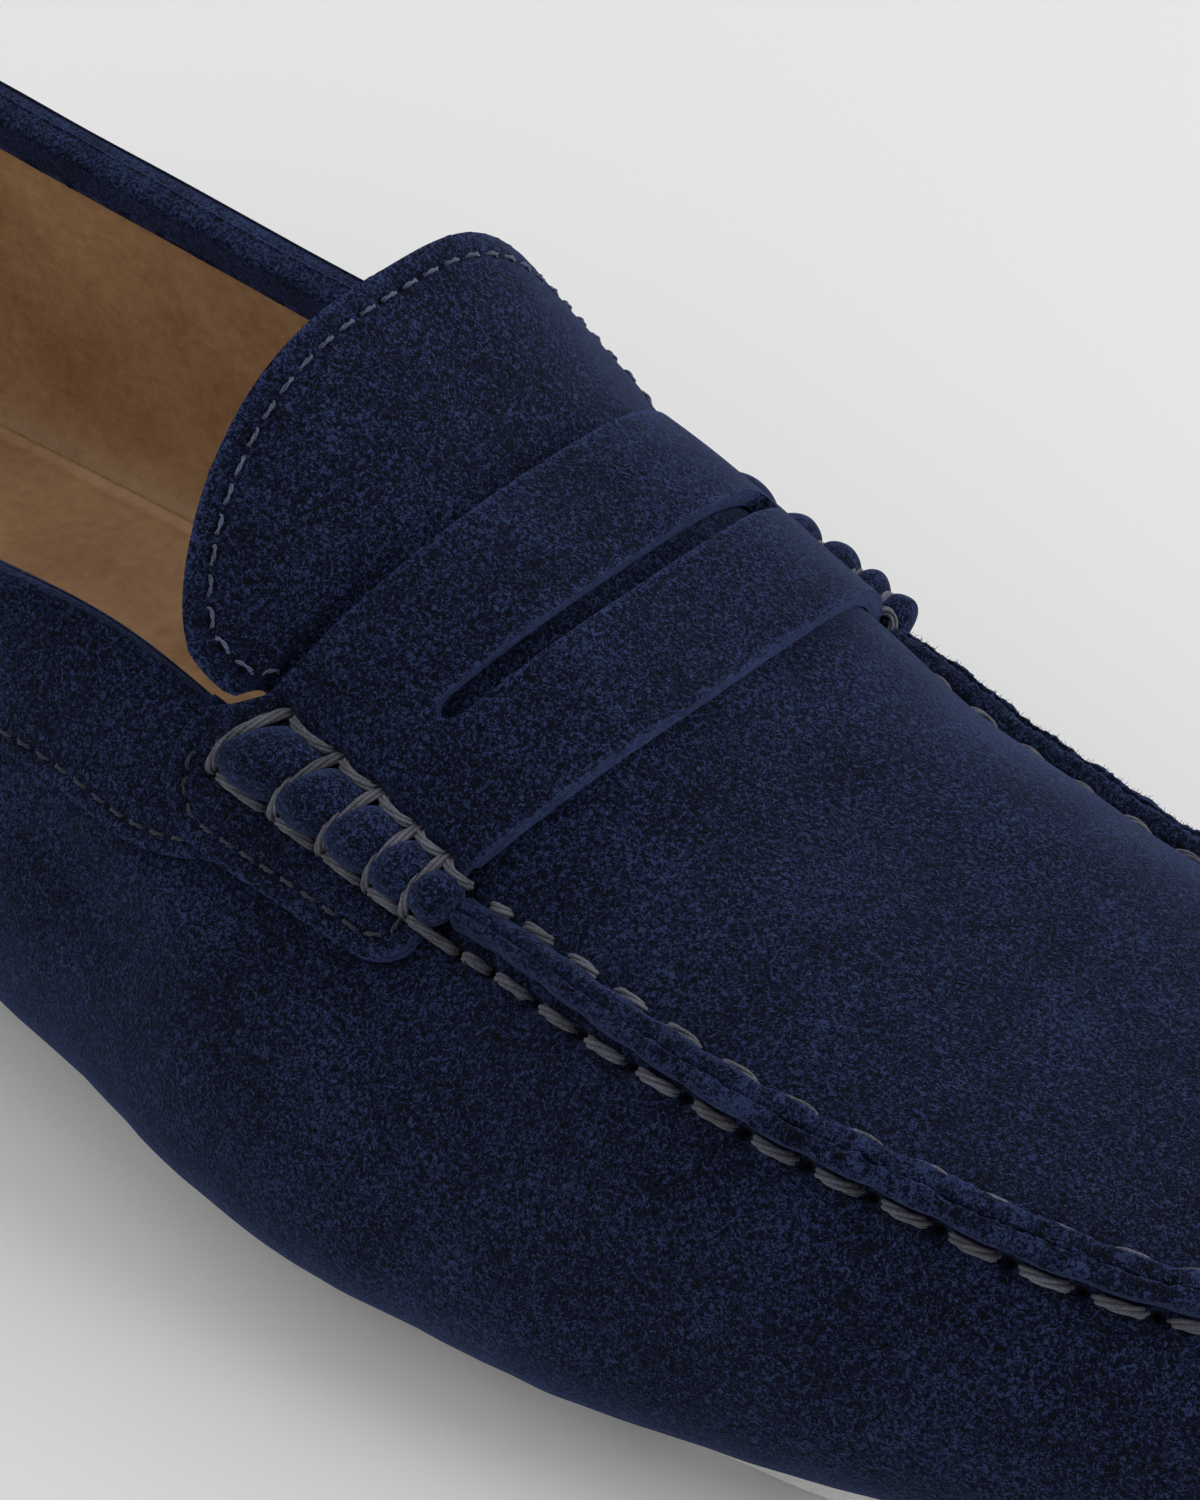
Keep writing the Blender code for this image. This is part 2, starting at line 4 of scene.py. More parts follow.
import bmesh
import bpy
import numpy as np
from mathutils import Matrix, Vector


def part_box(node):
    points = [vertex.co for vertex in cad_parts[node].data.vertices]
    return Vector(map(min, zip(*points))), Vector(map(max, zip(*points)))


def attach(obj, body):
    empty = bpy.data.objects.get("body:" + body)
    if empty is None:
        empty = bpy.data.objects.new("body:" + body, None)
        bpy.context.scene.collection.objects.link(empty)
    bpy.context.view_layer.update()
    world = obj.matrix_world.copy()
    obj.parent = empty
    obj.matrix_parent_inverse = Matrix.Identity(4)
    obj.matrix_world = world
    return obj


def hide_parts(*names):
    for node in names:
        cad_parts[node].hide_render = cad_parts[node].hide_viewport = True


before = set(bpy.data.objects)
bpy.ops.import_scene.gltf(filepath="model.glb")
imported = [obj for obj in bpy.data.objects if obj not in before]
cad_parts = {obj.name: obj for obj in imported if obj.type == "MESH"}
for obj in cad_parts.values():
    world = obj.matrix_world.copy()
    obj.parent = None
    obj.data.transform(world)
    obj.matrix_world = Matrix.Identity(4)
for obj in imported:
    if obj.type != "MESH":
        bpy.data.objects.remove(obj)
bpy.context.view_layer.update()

outerSide = -1
innerSide = 1

# The last, in metres: X from the heel's back to the toe, Y to the inner side, Z up from the floor.
last = {
    "length": 0.292, "ballWidth": 0.100, "heelWidth": 0.070, "instepHeight": 0.0643,
    "seamHeight": 0.043, "backHeight": 0.062, "heelLift": 0.0035, "toeSpring": 0.007,
    "archRise": 0.0025, "wallBulge": 0.0085, "wallTuck": 0.0070, "lastingMargin": 0.0090,
    "studHeight": 0.0025, "solePlate": 0.0033, "heelCentre": 0.120, "toeCentre": 0.836,
    "bulgeLevel": 0.35, "wallPower": 1.8, "crownPower": 3.0, "wall": 0.0020,
}

# A row for each section: its place, then shares of the sizes above.
columns = (
    "at", "ball", "outer", "inner", "rimOuter", "rimInner",
    "riseOuter", "riseInner", "crest", "lift", "arch", "spring",
)
sections = (
    (0.00, 0.00, 0.505, 0.480, 0.840, 0.840, 1.000, 1.000, 1.30, 1.00, 0.0, 0.00),
    (0.12, 0.00, 0.505, 0.480, 0.845, 0.850, 0.965, 0.965, 1.30, 1.00, 0.0, 0.00),
    (0.26, 0.10, 0.533, 0.460, 0.820, 0.866, 0.945, 0.945, 1.28, 0.95, 0.0, 0.00),
    (0.38, 0.35, 0.539, 0.424, 0.747, 0.824, 0.990, 0.990, 1.22, 0.70, 0.8, 0.00),
    (0.47, 0.65, 0.551, 0.398, 0.658, 0.755, 1.067, 1.050, 1.11, 0.35, 1.0, 0.00),
    (0.56, 0.90, 0.572, 0.422, 0.615, 0.720, 1.036, 0.920, 1.018, 0.10, 0.5, 0.00),
    (0.63, 1.00, 0.564, 0.447, 0.619, 0.640, 0.984, 0.895, 0.888, 0.00, 0.0, 0.00),
    (0.70, 1.00, 0.543, 0.463, 0.687, 0.590, 0.998, 0.825, 0.770, 0.00, 0.0, 0.00),
    (0.78, 0.95, 0.491, 0.463, 0.756, 0.600, 0.951, 0.760, 0.690, 0.00, 0.0, 0.07),
    (0.84, 0.90, 0.444, 0.449, 0.768, 0.630, 0.886, 0.745, 0.645, 0.00, 0.0, 0.22),
    (0.88, 0.88, 0.424, 0.434, 0.775, 0.680, 0.850, 0.740, 0.622, 0.00, 0.0, 0.38),
    (1.00, 0.80, 0.390, 0.398, 0.710, 0.710, 0.662, 0.662, 0.600, 0.00, 0.0, 1.00),
)
# The crest lies to the inner side: places and shares of the ball width.
spine = ((0.00, 0.0), (0.35, 0.010), (0.53, 0.045), (0.64, 0.045), (0.84, 0.030), (1.00, 0.030))


def smoothCurve(places, values):  # a monotone cubic through the rows
    places = np.array(places, float)
    values = np.array(values, float)
    steps = np.diff(places)
    slopes = np.diff(values) / steps
    tangents = np.concatenate([slopes[:1], np.zeros(len(steps) - 1), slopes[-1:]])
    for i in range(1, len(steps)):
        before, after = slopes[i - 1], slopes[i]
        first = 2 * steps[i] + steps[i - 1]
        second = steps[i] + 2 * steps[i - 1]
        if before * after > 0:
            tangents[i] = (first + second) / (first / before + second / after)

    def at(x):
        x = np.clip(x, places[0], places[-1])
        i = np.clip(np.searchsorted(places, x, side="right") - 1, 0, len(steps) - 1)
        t = (x - places[i]) / steps[i]
        start = values[i] * (1 + 2 * t) + steps[i] * tangents[i] * t
        end = values[i + 1] * (3 - 2 * t) - steps[i] * tangents[i + 1] * (1 - t)
        return start * (1 - t) ** 2 + end * t * t

    return at


curves = {name: smoothCurve([row[0] for row in sections], [row[i] for row in sections])
          for i, name in enumerate(columns)}
spineCurve = smoothCurve([row[0] for row in spine], [row[1] for row in spine])


def share(name, x):
    return curves[name](x / last["length"])


def spineY(x):
    return last["ballWidth"] * spineCurve(x / last["length"])


def blended(heelSize, ballSize, x):
    ball = share("ball", x)
    return last[heelSize] * (1 - ball) + last[ballSize] * ball


def soleTop(x):
    raised = last["heelLift"] * share("lift", x) + last["toeSpring"] * share("spring", x)
    return last["studHeight"] + last["solePlate"] + raised


def soleBottom(x):
    return last["studHeight"] + last["archRise"] * share("arch", x) + last["toeSpring"] * share("spring", x)


def crestHeight(x):
    return last["instepHeight"] * share("crest", x)


def softStep(x, low, high):
    t = np.clip((x - low) / (high - low), 0, 1)
    return t * t * (3 - 2 * t)


def stack(x, y, z):
    return np.stack(np.broadcast_arrays(x, y, z), axis=-1).astype(float)


def rayOf(side, along):  # from the spine to the outline, fanned round the heel and the toe
    length = last["length"]
    heel = last["heelCentre"] * length
    toe = last["toeCentre"] * length
    centre = np.clip(along, heel, toe)
    heelTurn = np.clip((heel - along) / heel, 0, 1) * math.pi / 2
    toeTurn = np.clip((along - toe) / (length - toe), 0, 1) * math.pi / 2
    x = centre - heel * np.sin(heelTurn) + (length - toe) * np.sin(toeTurn)
    half = np.where(side < 0, share("outer", x), share("inner", x))
    width = blended("heelWidth", "ballWidth", x) * half * np.cos(heelTurn + toeTurn)
    radius = np.hypot(x - centre, width)
    rimShare = np.where(side < 0, share("rimOuter", x), share("rimInner", x))
    rise = np.where(side < 0, share("riseOuter", x), share("riseInner", x))
    return {
        "x": centre, "y": spineY(centre), "radius": radius,
        "wayX": (x - centre) / radius, "wayY": side * width / radius,
        "rim": radius * rimShare, "rimHeight": blended("backHeight", "seamHeight", x) * rise,
    }


def lastPoint(side, along, level):
    # Level -1 to 0 is the margin under the foot, 0 to 1 the wall, 1 to 2 the apron up to the crest.
    side, along, level = np.broadcast_arrays(side, along, np.asarray(level, float))
    ray = rayOf(side, along)
    foot = ray["radius"] - last["wallTuck"]
    under = foot + np.minimum(level, 0) * last["lastingMargin"]
    ground = soleTop(ray["x"] + ray["wayX"] * under)
    bulge = ground + last["wallBulge"]
    turn = np.clip(level / last["bulgeLevel"], 0, 1) * math.pi / 2
    lowReach = under + last["wallTuck"] * np.sin(turn)
    lowHeight = bulge - last["wallBulge"] * np.cos(turn)
    up = np.clip((level - last["bulgeLevel"]) / (1 - last["bulgeLevel"]), 0, 1)
    wallReach = ray["radius"] - (ray["radius"] - ray["rim"]) * up ** last["wallPower"]
    wallHeight = bulge + (ray["rimHeight"] - bulge) * up
    out = np.clip(2 - level, 0, 1)
    near = 0.001 * last["length"]
    fall = (crestHeight(ray["x"] + near) - crestHeight(ray["x"] - near)) / (2 * near)
    tilt = fall * ray["wayX"] * ray["rim"]
    drop = crestHeight(ray["x"]) + tilt - ray["rimHeight"]
    apronHeight = crestHeight(ray["x"]) + tilt * out - drop * out ** last["crownPower"]
    low = level <= last["bulgeLevel"]
    wall = level <= 1
    reach = np.where(low, lowReach, np.where(wall, wallReach, ray["rim"] * out))
    height = np.where(low, lowHeight, np.where(wall, wallHeight, apronHeight))
    return stack(ray["x"] + ray["wayX"] * reach, ray["y"] + ray["wayY"] * reach, height)


def unit(vectors):
    return vectors / np.maximum(np.linalg.norm(vectors, axis=-1, keepdims=True), 1e-12)


def lastNormal(side, along, level):
    side, along, level = np.broadcast_arrays(side, along, np.minimum(np.asarray(level, float), 1.98))
    step = 0.002 * last["length"]
    low = np.maximum(along - step, 0.0)
    high = np.minimum(along + step, last["length"])
    forward = lastPoint(side, high, level) - lastPoint(side, low, level)
    upward = lastPoint(side, along, level + 0.01) - lastPoint(side, along, level - 0.01)
    return unit(np.cross(upward, forward) * side[..., None])


def lifted(side, along, level, height):
    height = np.asarray(height, float)
    return lastPoint(side, along, level) + lastNormal(side, along, level) * height[..., None]


girth = {"reach": 0.060, "steps": 480, "rows": 292}


def girthTable(side):  # how far over the leather each level lies from the rim, turned round
    alongs = np.linspace(0, last["length"], girth["rows"] + 1)
    levels = np.linspace(0, 2, 201)
    points = lastPoint(side, alongs[:, None], levels[None, :])
    steps = np.linalg.norm(np.diff(points, axis=1), axis=2)
    lengths = np.concatenate([np.zeros((len(alongs), 1)), np.cumsum(steps, axis=1)], axis=1)
    lengths -= lengths[:, 100:101]
    reach = np.linspace(-girth["reach"], girth["reach"], girth["steps"] + 1)
    return np.array([np.interp(reach, row, levels) for row in lengths])


girthTables = {side: girthTable(side) for side in (outerSide, innerSide)}


def levelAt(side, along, distance):  # the level this far above (or below) the rim, over the leather
    side, along, distance = np.broadcast_arrays(side, along, distance)
    row = np.clip(along / last["length"], 0, 1) * girth["rows"]
    column = np.clip(distance / girth["reach"] / 2 + 0.5, 0, 1) * girth["steps"]
    i = np.minimum(row.astype(int), girth["rows"] - 1)
    j = np.minimum(column.astype(int), girth["steps"] - 1)
    u, v = row - i, column - j
    found = []
    for half in (outerSide, innerSide):
        t = girthTables[half]
        found.append((t[i, j] * (1 - v) + t[i, j + 1] * v) * (1 - u)
                     + (t[i + 1, j] * (1 - v) + t[i + 1, j + 1] * v) * u)
    return np.where(side < 0, found[0], found[1])


def onLeather(side, along, distance, height):
    return lifted(side, along, levelAt(side, along, distance), height)


def normalOn(side, along, distance):
    return lastNormal(side, along, levelAt(side, along, distance))


def arcOf(line):  # how far along a line each of its points lies
    return np.concatenate([[0], np.cumsum(np.linalg.norm(np.diff(line, axis=0), axis=1))])


def trip(start, spacing, level, heel=False):
    # Evenly spaced places from start on the outer side round the toe (or heel) to the inner side.
    q = np.linspace(0, 2, 4001)
    end = 0.0 if heel else last["length"]
    back = np.where(q < 1, q, 2 - q)
    along = start + (end - start) * back
    side = np.where(q < 1, outerSide, innerSide)
    lengths = arcOf(lastPoint(side, along, level))
    count = max(int(round(lengths[-1] / spacing)), 8)
    arc = np.linspace(0, lengths[-1], count + 1)
    found = np.interp(arc, lengths, q)
    places = start + (end - start) * np.where(found < 1, found, 2 - found)
    return np.where(found < 1, outerSide, innerSide), places, arc


def fullRing(spacing, level, heelSpacing=None, start=0.1500):  # right round the shoe, toe half and heel half
    side, along, _ = trip(start, spacing, level)
    heelSide, heelAlong, _ = trip(start, heelSpacing or spacing, level, heel=True)
    return np.concatenate([side, heelSide[::-1][1:-1]]), np.concatenate([along, heelAlong[::-1][1:-1]])


# Where the shoe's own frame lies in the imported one.
upperLow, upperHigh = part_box("upper")
stations = np.linspace(0, last["length"], girth["rows"] + 1)
bothSides = np.repeat([outerSide, innerSide], len(stations))
outline = lastPoint(bothSides, np.tile(stations, 2), last["bulgeLevel"])
shift = np.array([
    (upperLow[0] + upperHigh[0]) / 2 - last["length"] / 2,
    (upperLow[1] + upperHigh[1]) / 2 - (outline[:, 1].min() + outline[:, 1].max()) / 2,
    0.0,
])
print("shoe frame lies at", [round(float(v), 5) for v in shift])


def lumpy(points, size, seed=0):  # smooth noise from -1 to 1
    q = points / size
    cell = np.floor(q).astype(np.int64)
    f = q - cell
    f = f * f * (3 - 2 * f)
    total = np.zeros(points.shape[:-1])
    for corner in range(8):
        step = [(corner >> k) & 1 for k in range(3)]
        h = np.full(points.shape[:-1], seed * 7919 + 17, np.int64)
        weight = np.ones(points.shape[:-1])
        for k, prime in enumerate((73856093, 19349663, 83492791)):
            h ^= (cell[..., k] + step[k]) * prime
            weight = weight * (f[..., k] if step[k] else 1 - f[..., k])
        h = (h ^ (h >> 13)) * 1274126177 & 0x7FFFFFFF
        total += weight * (((h ^ (h >> 16)) & 0xFFFF) / 32767.5 - 1)
    return total


# Finishes.
class Wire:  # a socket that can be used in Python expressions
    def __init__(self, finish, socket):
        self.finish = finish
        self.socket = socket

    def maths(self, operation, other=0.0, swapped=False):
        first, second = (other, self) if swapped else (self, other)
        return self.finish.node("ShaderNodeMath", {"operation": operation}, {0: first, 1: second})

    def __add__(self, other):
        return self.maths("ADD", other)

    def __mul__(self, other):
        return self.maths("MULTIPLY", other)

    def __sub__(self, other):
        return self.maths("SUBTRACT", other)

    def __rsub__(self, other):
        return self.maths("SUBTRACT", other, True)

    __radd__ = __add__
    __rmul__ = __mul__

    def between(self, low, high):
        settings = {"interpolation_type": "SMOOTHSTEP"}
        return self.finish.node("ShaderNodeMapRange", settings, {0: self, 1: low, 2: high})


class Finish:
    def __init__(self, name):
        self.material = bpy.data.materials.new(name)
        self.material.use_nodes = True
        self.tree = self.material.node_tree
        self.tree.nodes.clear()
        self.place = self.node("ShaderNodeTexCoord", output="Object")

    def node(self, kind, settings=None, inputs=None, output=0):
        made = self.tree.nodes.new(kind)
        for name, value in (settings or {}).items():
            if name == "stops":
                for k, (at, colour) in enumerate(value):
                    stop = made.color_ramp.elements[k] if k < 2 else made.color_ramp.elements.new(at)
                    stop.position = at
                    stop.color = (*colour, 1)
            else:
                setattr(made, name, value)
        for name, value in (inputs or {}).items():
            if isinstance(value, Wire):
                self.tree.links.new(value.socket, made.inputs[name])
            else:
                made.inputs[name].default_value = value
        return Wire(self, made.outputs[output]) if len(made.outputs) else None

    def noise(self, size, detail=2.0, roughness=0.5, distortion=0.0):
        return self.node("ShaderNodeTexNoise", {}, {
            "Vector": self.place, "Scale": 1 / size, "Detail": detail,
            "Roughness": roughness, "Distortion": distortion,
        })

    def mark(self, name):  # a value that the mesh carries at its points
        return self.node("ShaderNodeAttribute", {"attribute_name": name}, {}, "Fac")

    def blend(self, factor, wire, colour):  # from a wire's colour to a plain one
        return self.node("ShaderNodeMix", {"data_type": "RGBA"}, {0: factor, 6: wire, 7: (*colour, 1)}, 2)

    def ramp(self, value, *stops):
        return self.node("ShaderNodeValToRGB", {"stops": stops}, {0: value})

    def bump(self, height, distance, strength):
        return self.node("ShaderNodeBump", {}, {"Height": height, "Distance": distance, "Strength": strength})

    def surface(self, inputs):
        shader = self.node("ShaderNodeBsdfPrincipled", {}, inputs)
        self.node("ShaderNodeOutputMaterial", {}, {"Surface": shader})
        return self.material


# The near-black hole colour is painted shade: the pit mark blends it in at stitch holes, stitch grooves and
# the folds between the roll's lobes.
suede = {
    "deep": (0.0001, 0.0003, 0.0024), "body": (0.0011, 0.0029, 0.0150), "pale": (0.0215, 0.0345, 0.0960),
    "holeShade": (0.0004, 0.0005, 0.0010), "stops": {"deep": 0.42, "body": 0.51, "pale": 0.60},
    "grain": 0.00042, "fibre": 0.00018, "cloud": 0.011, "cloudShare": 0.12, "wornShare": 0.065,
    "nap": 0.00030, "sheen": (0.18, 0.27, 0.64),
}


def makeSuede(name, tone=1.0, nap=1.0):
    f = Finish(name)
    grain = f.noise(suede["grain"], 2.0, 0.6, 0.9)
    fibre = f.noise(suede["fibre"], 2.0, 0.6, 1.2)
    cloud = f.noise(suede["cloud"], 4.0, 0.6)
    pitShade = f.mark("pitShade")
    worn = f.mark("worn")
    speck = grain * 0.6 + fibre * 0.4 + (cloud - 0.5) * suede["cloudShare"] + worn * suede["wornShare"]
    stops = [(at, tuple(min(c * tone, 1) for c in suede[key])) for key, at in suede["stops"].items()]
    colour = f.ramp(speck, *stops)
    # Painted shade: the colour goes to the near-black hole colour where the pit mark is high.
    colour = f.blend(pitShade.between(0.1, 0.8), colour, suede["holeShade"])
    height = grain * 0.6 + fibre * 0.4
    return f.surface({
        "Base Color": colour, "Roughness": 0.92, "Specular IOR Level": 0.12,
        "Sheen Weight": 0.44, "Sheen Roughness": 0.25, "Sheen Tint": (*suede["sheen"], 1),
        "Normal": f.bump(height, suede["nap"] * nap, 1.0),
    })


thread = {"dark": (0.008, 0.008, 0.012), "light": (0.128, 0.133, 0.175), "strand": 0.00016, "shade": 0.004}


def makeThread(name, tone=(1.0, 1.0, 1.0)):
    f = Finish(name)
    strand = f.noise(thread["strand"], 2.0, 0.6, 1.2)
    shade = f.noise(thread["shade"])
    dark, light = (tuple(c * part for c, part in zip(thread[key], tone)) for key in ("dark", "light"))
    stops = [(0.36, dark), (0.66, light)]
    colour = f.ramp(strand * 0.7 + shade * 0.3, *stops)
    return f.surface({
        "Base Color": colour, "Roughness": 0.62, "Specular IOR Level": 0.35,
        "Sheen Weight": 0.15, "Normal": f.bump(strand, 0.00006, 0.7),
    })


liningTan = {
    "deep": (0.24, 0.125, 0.055), "light": (0.50, 0.31, 0.165),
    "pore": 0.0007, "grain": 0.0016, "cloud": 0.02,
}


def makeLining(name):
    f = Finish(name)
    inputs = {"Vector": f.place, "Scale": 1 / liningTan["pore"]}
    pores = f.node("ShaderNodeTexVoronoi", {"feature": "F1"}, inputs)
    grain = f.noise(liningTan["grain"], 4.0, 0.6)
    cloud = f.noise(liningTan["cloud"], 3.0, 0.55)
    colour = f.ramp(grain * 0.4 + cloud * 0.6, (0.3, liningTan["deep"]), (0.72, liningTan["light"]))
    height = pores * 0.6 + grain * 0.4
    return f.surface({
        "Base Color": colour, "Roughness": 0.42 + grain * 0.25, "Specular IOR Level": 0.4,
        "Normal": f.bump(height, 0.00012, 0.6),
    })


rubber = {"shade": (0.50, 0.50, 0.49), "light": (0.74, 0.74, 0.72), "grain": 0.0005, "cloud": 0.018}


def makeRubber(name):
    f = Finish(name)
    grain = f.noise(rubber["grain"], 3.0, 0.6)
    cloud = f.noise(rubber["cloud"], 3.0, 0.6)
    colour = f.ramp(cloud * 0.7 + grain * 0.3, (0.3, rubber["shade"]), (0.7, rubber["light"]))
    return f.surface({
        "Base Color": colour, "Roughness": 0.5 + grain * 0.3, "Specular IOR Level": 0.4,
        "Normal": f.bump(grain, 0.00008, 0.6),
    })


def makeFloor(name):
    f = Finish(name)
    haze = f.noise(0.4, 2.0)
    colour = f.ramp(haze, (0.2, (0.80, 0.80, 0.80)), (0.8, (0.82, 0.82, 0.82)))
    return f.surface({"Base Color": colour, "Roughness": 0.85, "Specular IOR Level": 0.2})


finishes = {
    "suede": makeSuede("suede"),
    "suedeEdge": makeSuede("suedeEdge", 1.1, 1.3),
    # Painted light: the roll's suede is the same suede made 15 % lighter, to show its lobes as lit.
    "rollSuedePaintedLight": makeSuede("rollSuedePaintedLight", 1.15),
    "thread": makeThread("thread"),
    "fineThread": makeThread("fineThread", (0.75, 0.90, 1.30)),
    "dimThread": makeThread("dimThread", (0.16, 0.21, 0.36)),
    "lining": makeLining("lining"),
    "rubber": makeRubber("rubber"),
    "floor": makeFloor("floor"),
}
print("finishes made:", len(finishes))


# Meshes.
mergeGap = 2e-6


def gridFaces(rows, count, closed=False, start=0):
    i = np.arange(rows - 1)[:, None]
    j = np.arange(count if closed else count - 1)[None, :]
    k = (j + 1) % count
    low, high = start + i * count, start + (i + 1) * count
    return np.stack([low + j, low + k, high + k, high + j], axis=-1).reshape(-1, 4)


def tubeFaces(rings, count, start=0):  # a tube of rings with both its ends closed
    end = start + rings * count
    caps = [list(range(start + count - 1, start - 1, -1)), list(range(end - count, end))]
    return gridFaces(rings, count, True, start).tolist() + caps


def addPiece(name, points, faces, finishNames, marks=None, merge=0.0):
    mesh = bpy.data.meshes.new(name)
    mesh.from_pydata((np.asarray(points) + shift).tolist(), [], [list(map(int, face)) for face in faces])
    for mark, values in (marks or {}).items():
        attribute = mesh.attributes.new(mark, "FLOAT", "POINT")
        attribute.data.foreach_set("value", np.asarray(values, np.float32).ravel())
    for finishName in finishNames:
        mesh.materials.append(finishes[finishName])
    if merge:
        bm = bmesh.new()
        bm.from_mesh(mesh)
        bmesh.ops.remove_doubles(bm, verts=bm.verts, dist=merge)
        bmesh.ops.dissolve_degenerate(bm, edges=bm.edges, dist=1e-7)
        bm.to_mesh(mesh)
        bm.free()
    mesh.shade_smooth()
    piece = bpy.data.objects.new(name, mesh)
    bpy.context.collection.objects.link(piece)
    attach(piece, "root")
    return piece


def turnOutward(mesh, outward):  # outward gives, for a face's centre, the way it has to face
    middle = mesh.polygons[len(mesh.polygons) // 2]
    if np.dot(np.array(middle.normal), outward(np.array(middle.center) - shift)) < 0:
        mesh.flip_normals()


def fromAxis(point):
    return point - np.array([point[0], float(spineY(point[0])), 0.02])


def bake(piece):
    graph = bpy.context.evaluated_depsgraph_get()
    mesh = bpy.data.meshes.new_from_object(piece.evaluated_get(graph))
    mesh.name = piece.name
    piece.modifiers.clear()
    piece.data = mesh
    mesh.shade_smooth()


def leather(name, grid, thickness, marks, roundness, ragged, skip=None, outward=fromAxis):
    # A sheet from its outer face, thickened inwards, with a rounded and frayed cut edge.
    faces = gridFaces(*grid.shape[:2])
    if skip is not None:
        faces = faces[~skip.ravel()]
    piece = addPiece(name, grid.reshape(-1, 3), faces, ["suede", "suedeEdge"], marks, mergeGap)
    turnOutward(piece.data, outward)
    skin = piece.modifiers.new("thickness", "SOLIDIFY")
    skin.thickness = thickness
    skin.offset = -1
    skin.use_even_offset = False
    skin.material_offset_rim = 1
    edge = piece.modifiers.new("cutEdge", "BEVEL")
    edge.width = roundness
    edge.segments = 3
    edge.limit_method = "ANGLE"
    edge.angle_limit = math.radians(55)
    bpy.context.view_layer.update()
    bake(piece)
    frayEdge(piece.data, ragged)
    return piece


def frayEdge(mesh, amount, size=0.0006):  # roughens the points of the cut edge
    cut = set()
    for face in mesh.polygons:
        if face.material_index == 1:
            cut.update(face.vertices)
    cut = np.array(sorted(cut), int)
    points = np.empty(len(mesh.vertices) * 3)
    mesh.vertices.foreach_get("co", points)
    points = points.reshape(-1, 3)
    for axis in range(3):
        wave = lumpy(points[cut], size, 11 + axis) + 0.6 * lumpy(points[cut], size * 3, 31 + axis)
        points[cut, axis] += amount * wave
    mesh.vertices.foreach_set("co", points.ravel())
    mesh.update()


ropeSides = 6


def rope(path, up, radius, plies, lay, phase):
    # Twisted plies round a path. Returns the points and faces, with closed ends.
    path = np.asarray(path, float)
    along = unit(np.gradient(path, axis=0))
    across = unit(np.cross(along, np.broadcast_to(up, path.shape)))
    lift = np.cross(across, along)
    arc = arcOf(path)
    plyRadius = radius * {2: 0.55, 4: 0.42, 5: 0.38}[plies]
    centre = radius - plyRadius
    spin = math.tau * np.arange(ropeSides) / ropeSides
    ring = across[:, None] * np.cos(spin)[None, :, None] + lift[:, None] * np.sin(spin)[None, :, None]
    points, faces = [], []
    for ply in range(plies):
        turn = math.tau * (arc / lay + ply / plies) + phase
        middle = path + centre * (across * np.cos(turn)[:, None] + lift * np.sin(turn)[:, None])
        points.append((middle[:, None] + ring * plyRadius).reshape(-1, 3))
        faces += tubeFaces(len(path), ropeSides, ply * len(path) * ropeSides)
    return np.concatenate(points), faces


def spotsOn(places, arc, line):  # a line's points at these lengths along it
    return np.stack([np.interp(places, arc, line[:, axis]) for axis in range(line.shape[1])], axis=-1)


def evenly(line, spacing):
    arc = arcOf(line)
    return spotsOn(np.linspace(0, arc[-1], max(int(round(arc[-1] / spacing)), 2) + 1), arc, line)


def insetLine(outline, inset, spacing):  # a line this far inside a flat outline drawn anticlockwise
    outline = evenly(outline, spacing)
    way = unit(np.gradient(outline, axis=0))
    line = outline + inset * np.stack([-way[:, 1], way[:, 0]], axis=-1)
    gap = np.min(np.linalg.norm(line[:, None] - outline[None], axis=-1), axis=1)
    return evenly(line[gap > inset * 0.97], spacing)


def gapTo(spots, line):  # how far each spot lies from the nearest point of a line
    gap = np.full(spots.shape[:-1], 1.0)
    for point in line:
        gap = np.minimum(gap, np.linalg.norm(spots - point, axis=-1))
    return gap


def stitchMarks(spots, line, count, radius):  # the groove a stitched line presses in, and its holes
    arc = arcOf(line)
    marks = spotsOn(np.linspace(0, arc[-1], count + 1), arc, line)
    groove = np.exp(-(gapTo(spots, line) / (radius * 1.3)) ** 2)
    return groove, np.exp(-(gapTo(spots, marks) / radius) ** 2)


def hairs(name, roots, ways, length, radius, seed, finish):
    # Short bent fibres that stand out of a cut edge.
    draw = np.random.default_rng(seed)
    count = len(roots)
    ways = unit(ways + 0.75 * draw.normal(size=(count, 3)))
    bend = unit(np.cross(ways, draw.normal(size=(count, 3))))
    side = np.cross(ways, bend)
    size = length * draw.uniform(0.35, 1.0, (count, 1))
    rings = []
    for t, thin in ((-0.15, 1.0), (0.35, 0.9), (0.7, 0.65), (1.0, 0.25)):
        centre = roots + ways * size * t + bend * size * 0.45 * max(t, 0) ** 2
        for turn in (0, math.tau / 3, 2 * math.tau / 3):
            rings.append(centre + radius * thin * (side * math.cos(turn) + bend * math.sin(turn)))
    points = np.stack(rings, axis=1)
    faces = [face for k in range(count) for face in tubeFaces(4, 3, 12 * k)]
    return addPiece(name, points.reshape(-1, 3), faces, [finish])


def gather(parts):  # joins (points, faces) pairs into one
    points, faces, start = [], [], 0
    for part, partFaces in parts:
        points.append(part)
        faces += [[index + start for index in face] for face in partFaces]
        start += len(part)
    return np.concatenate(points), faces


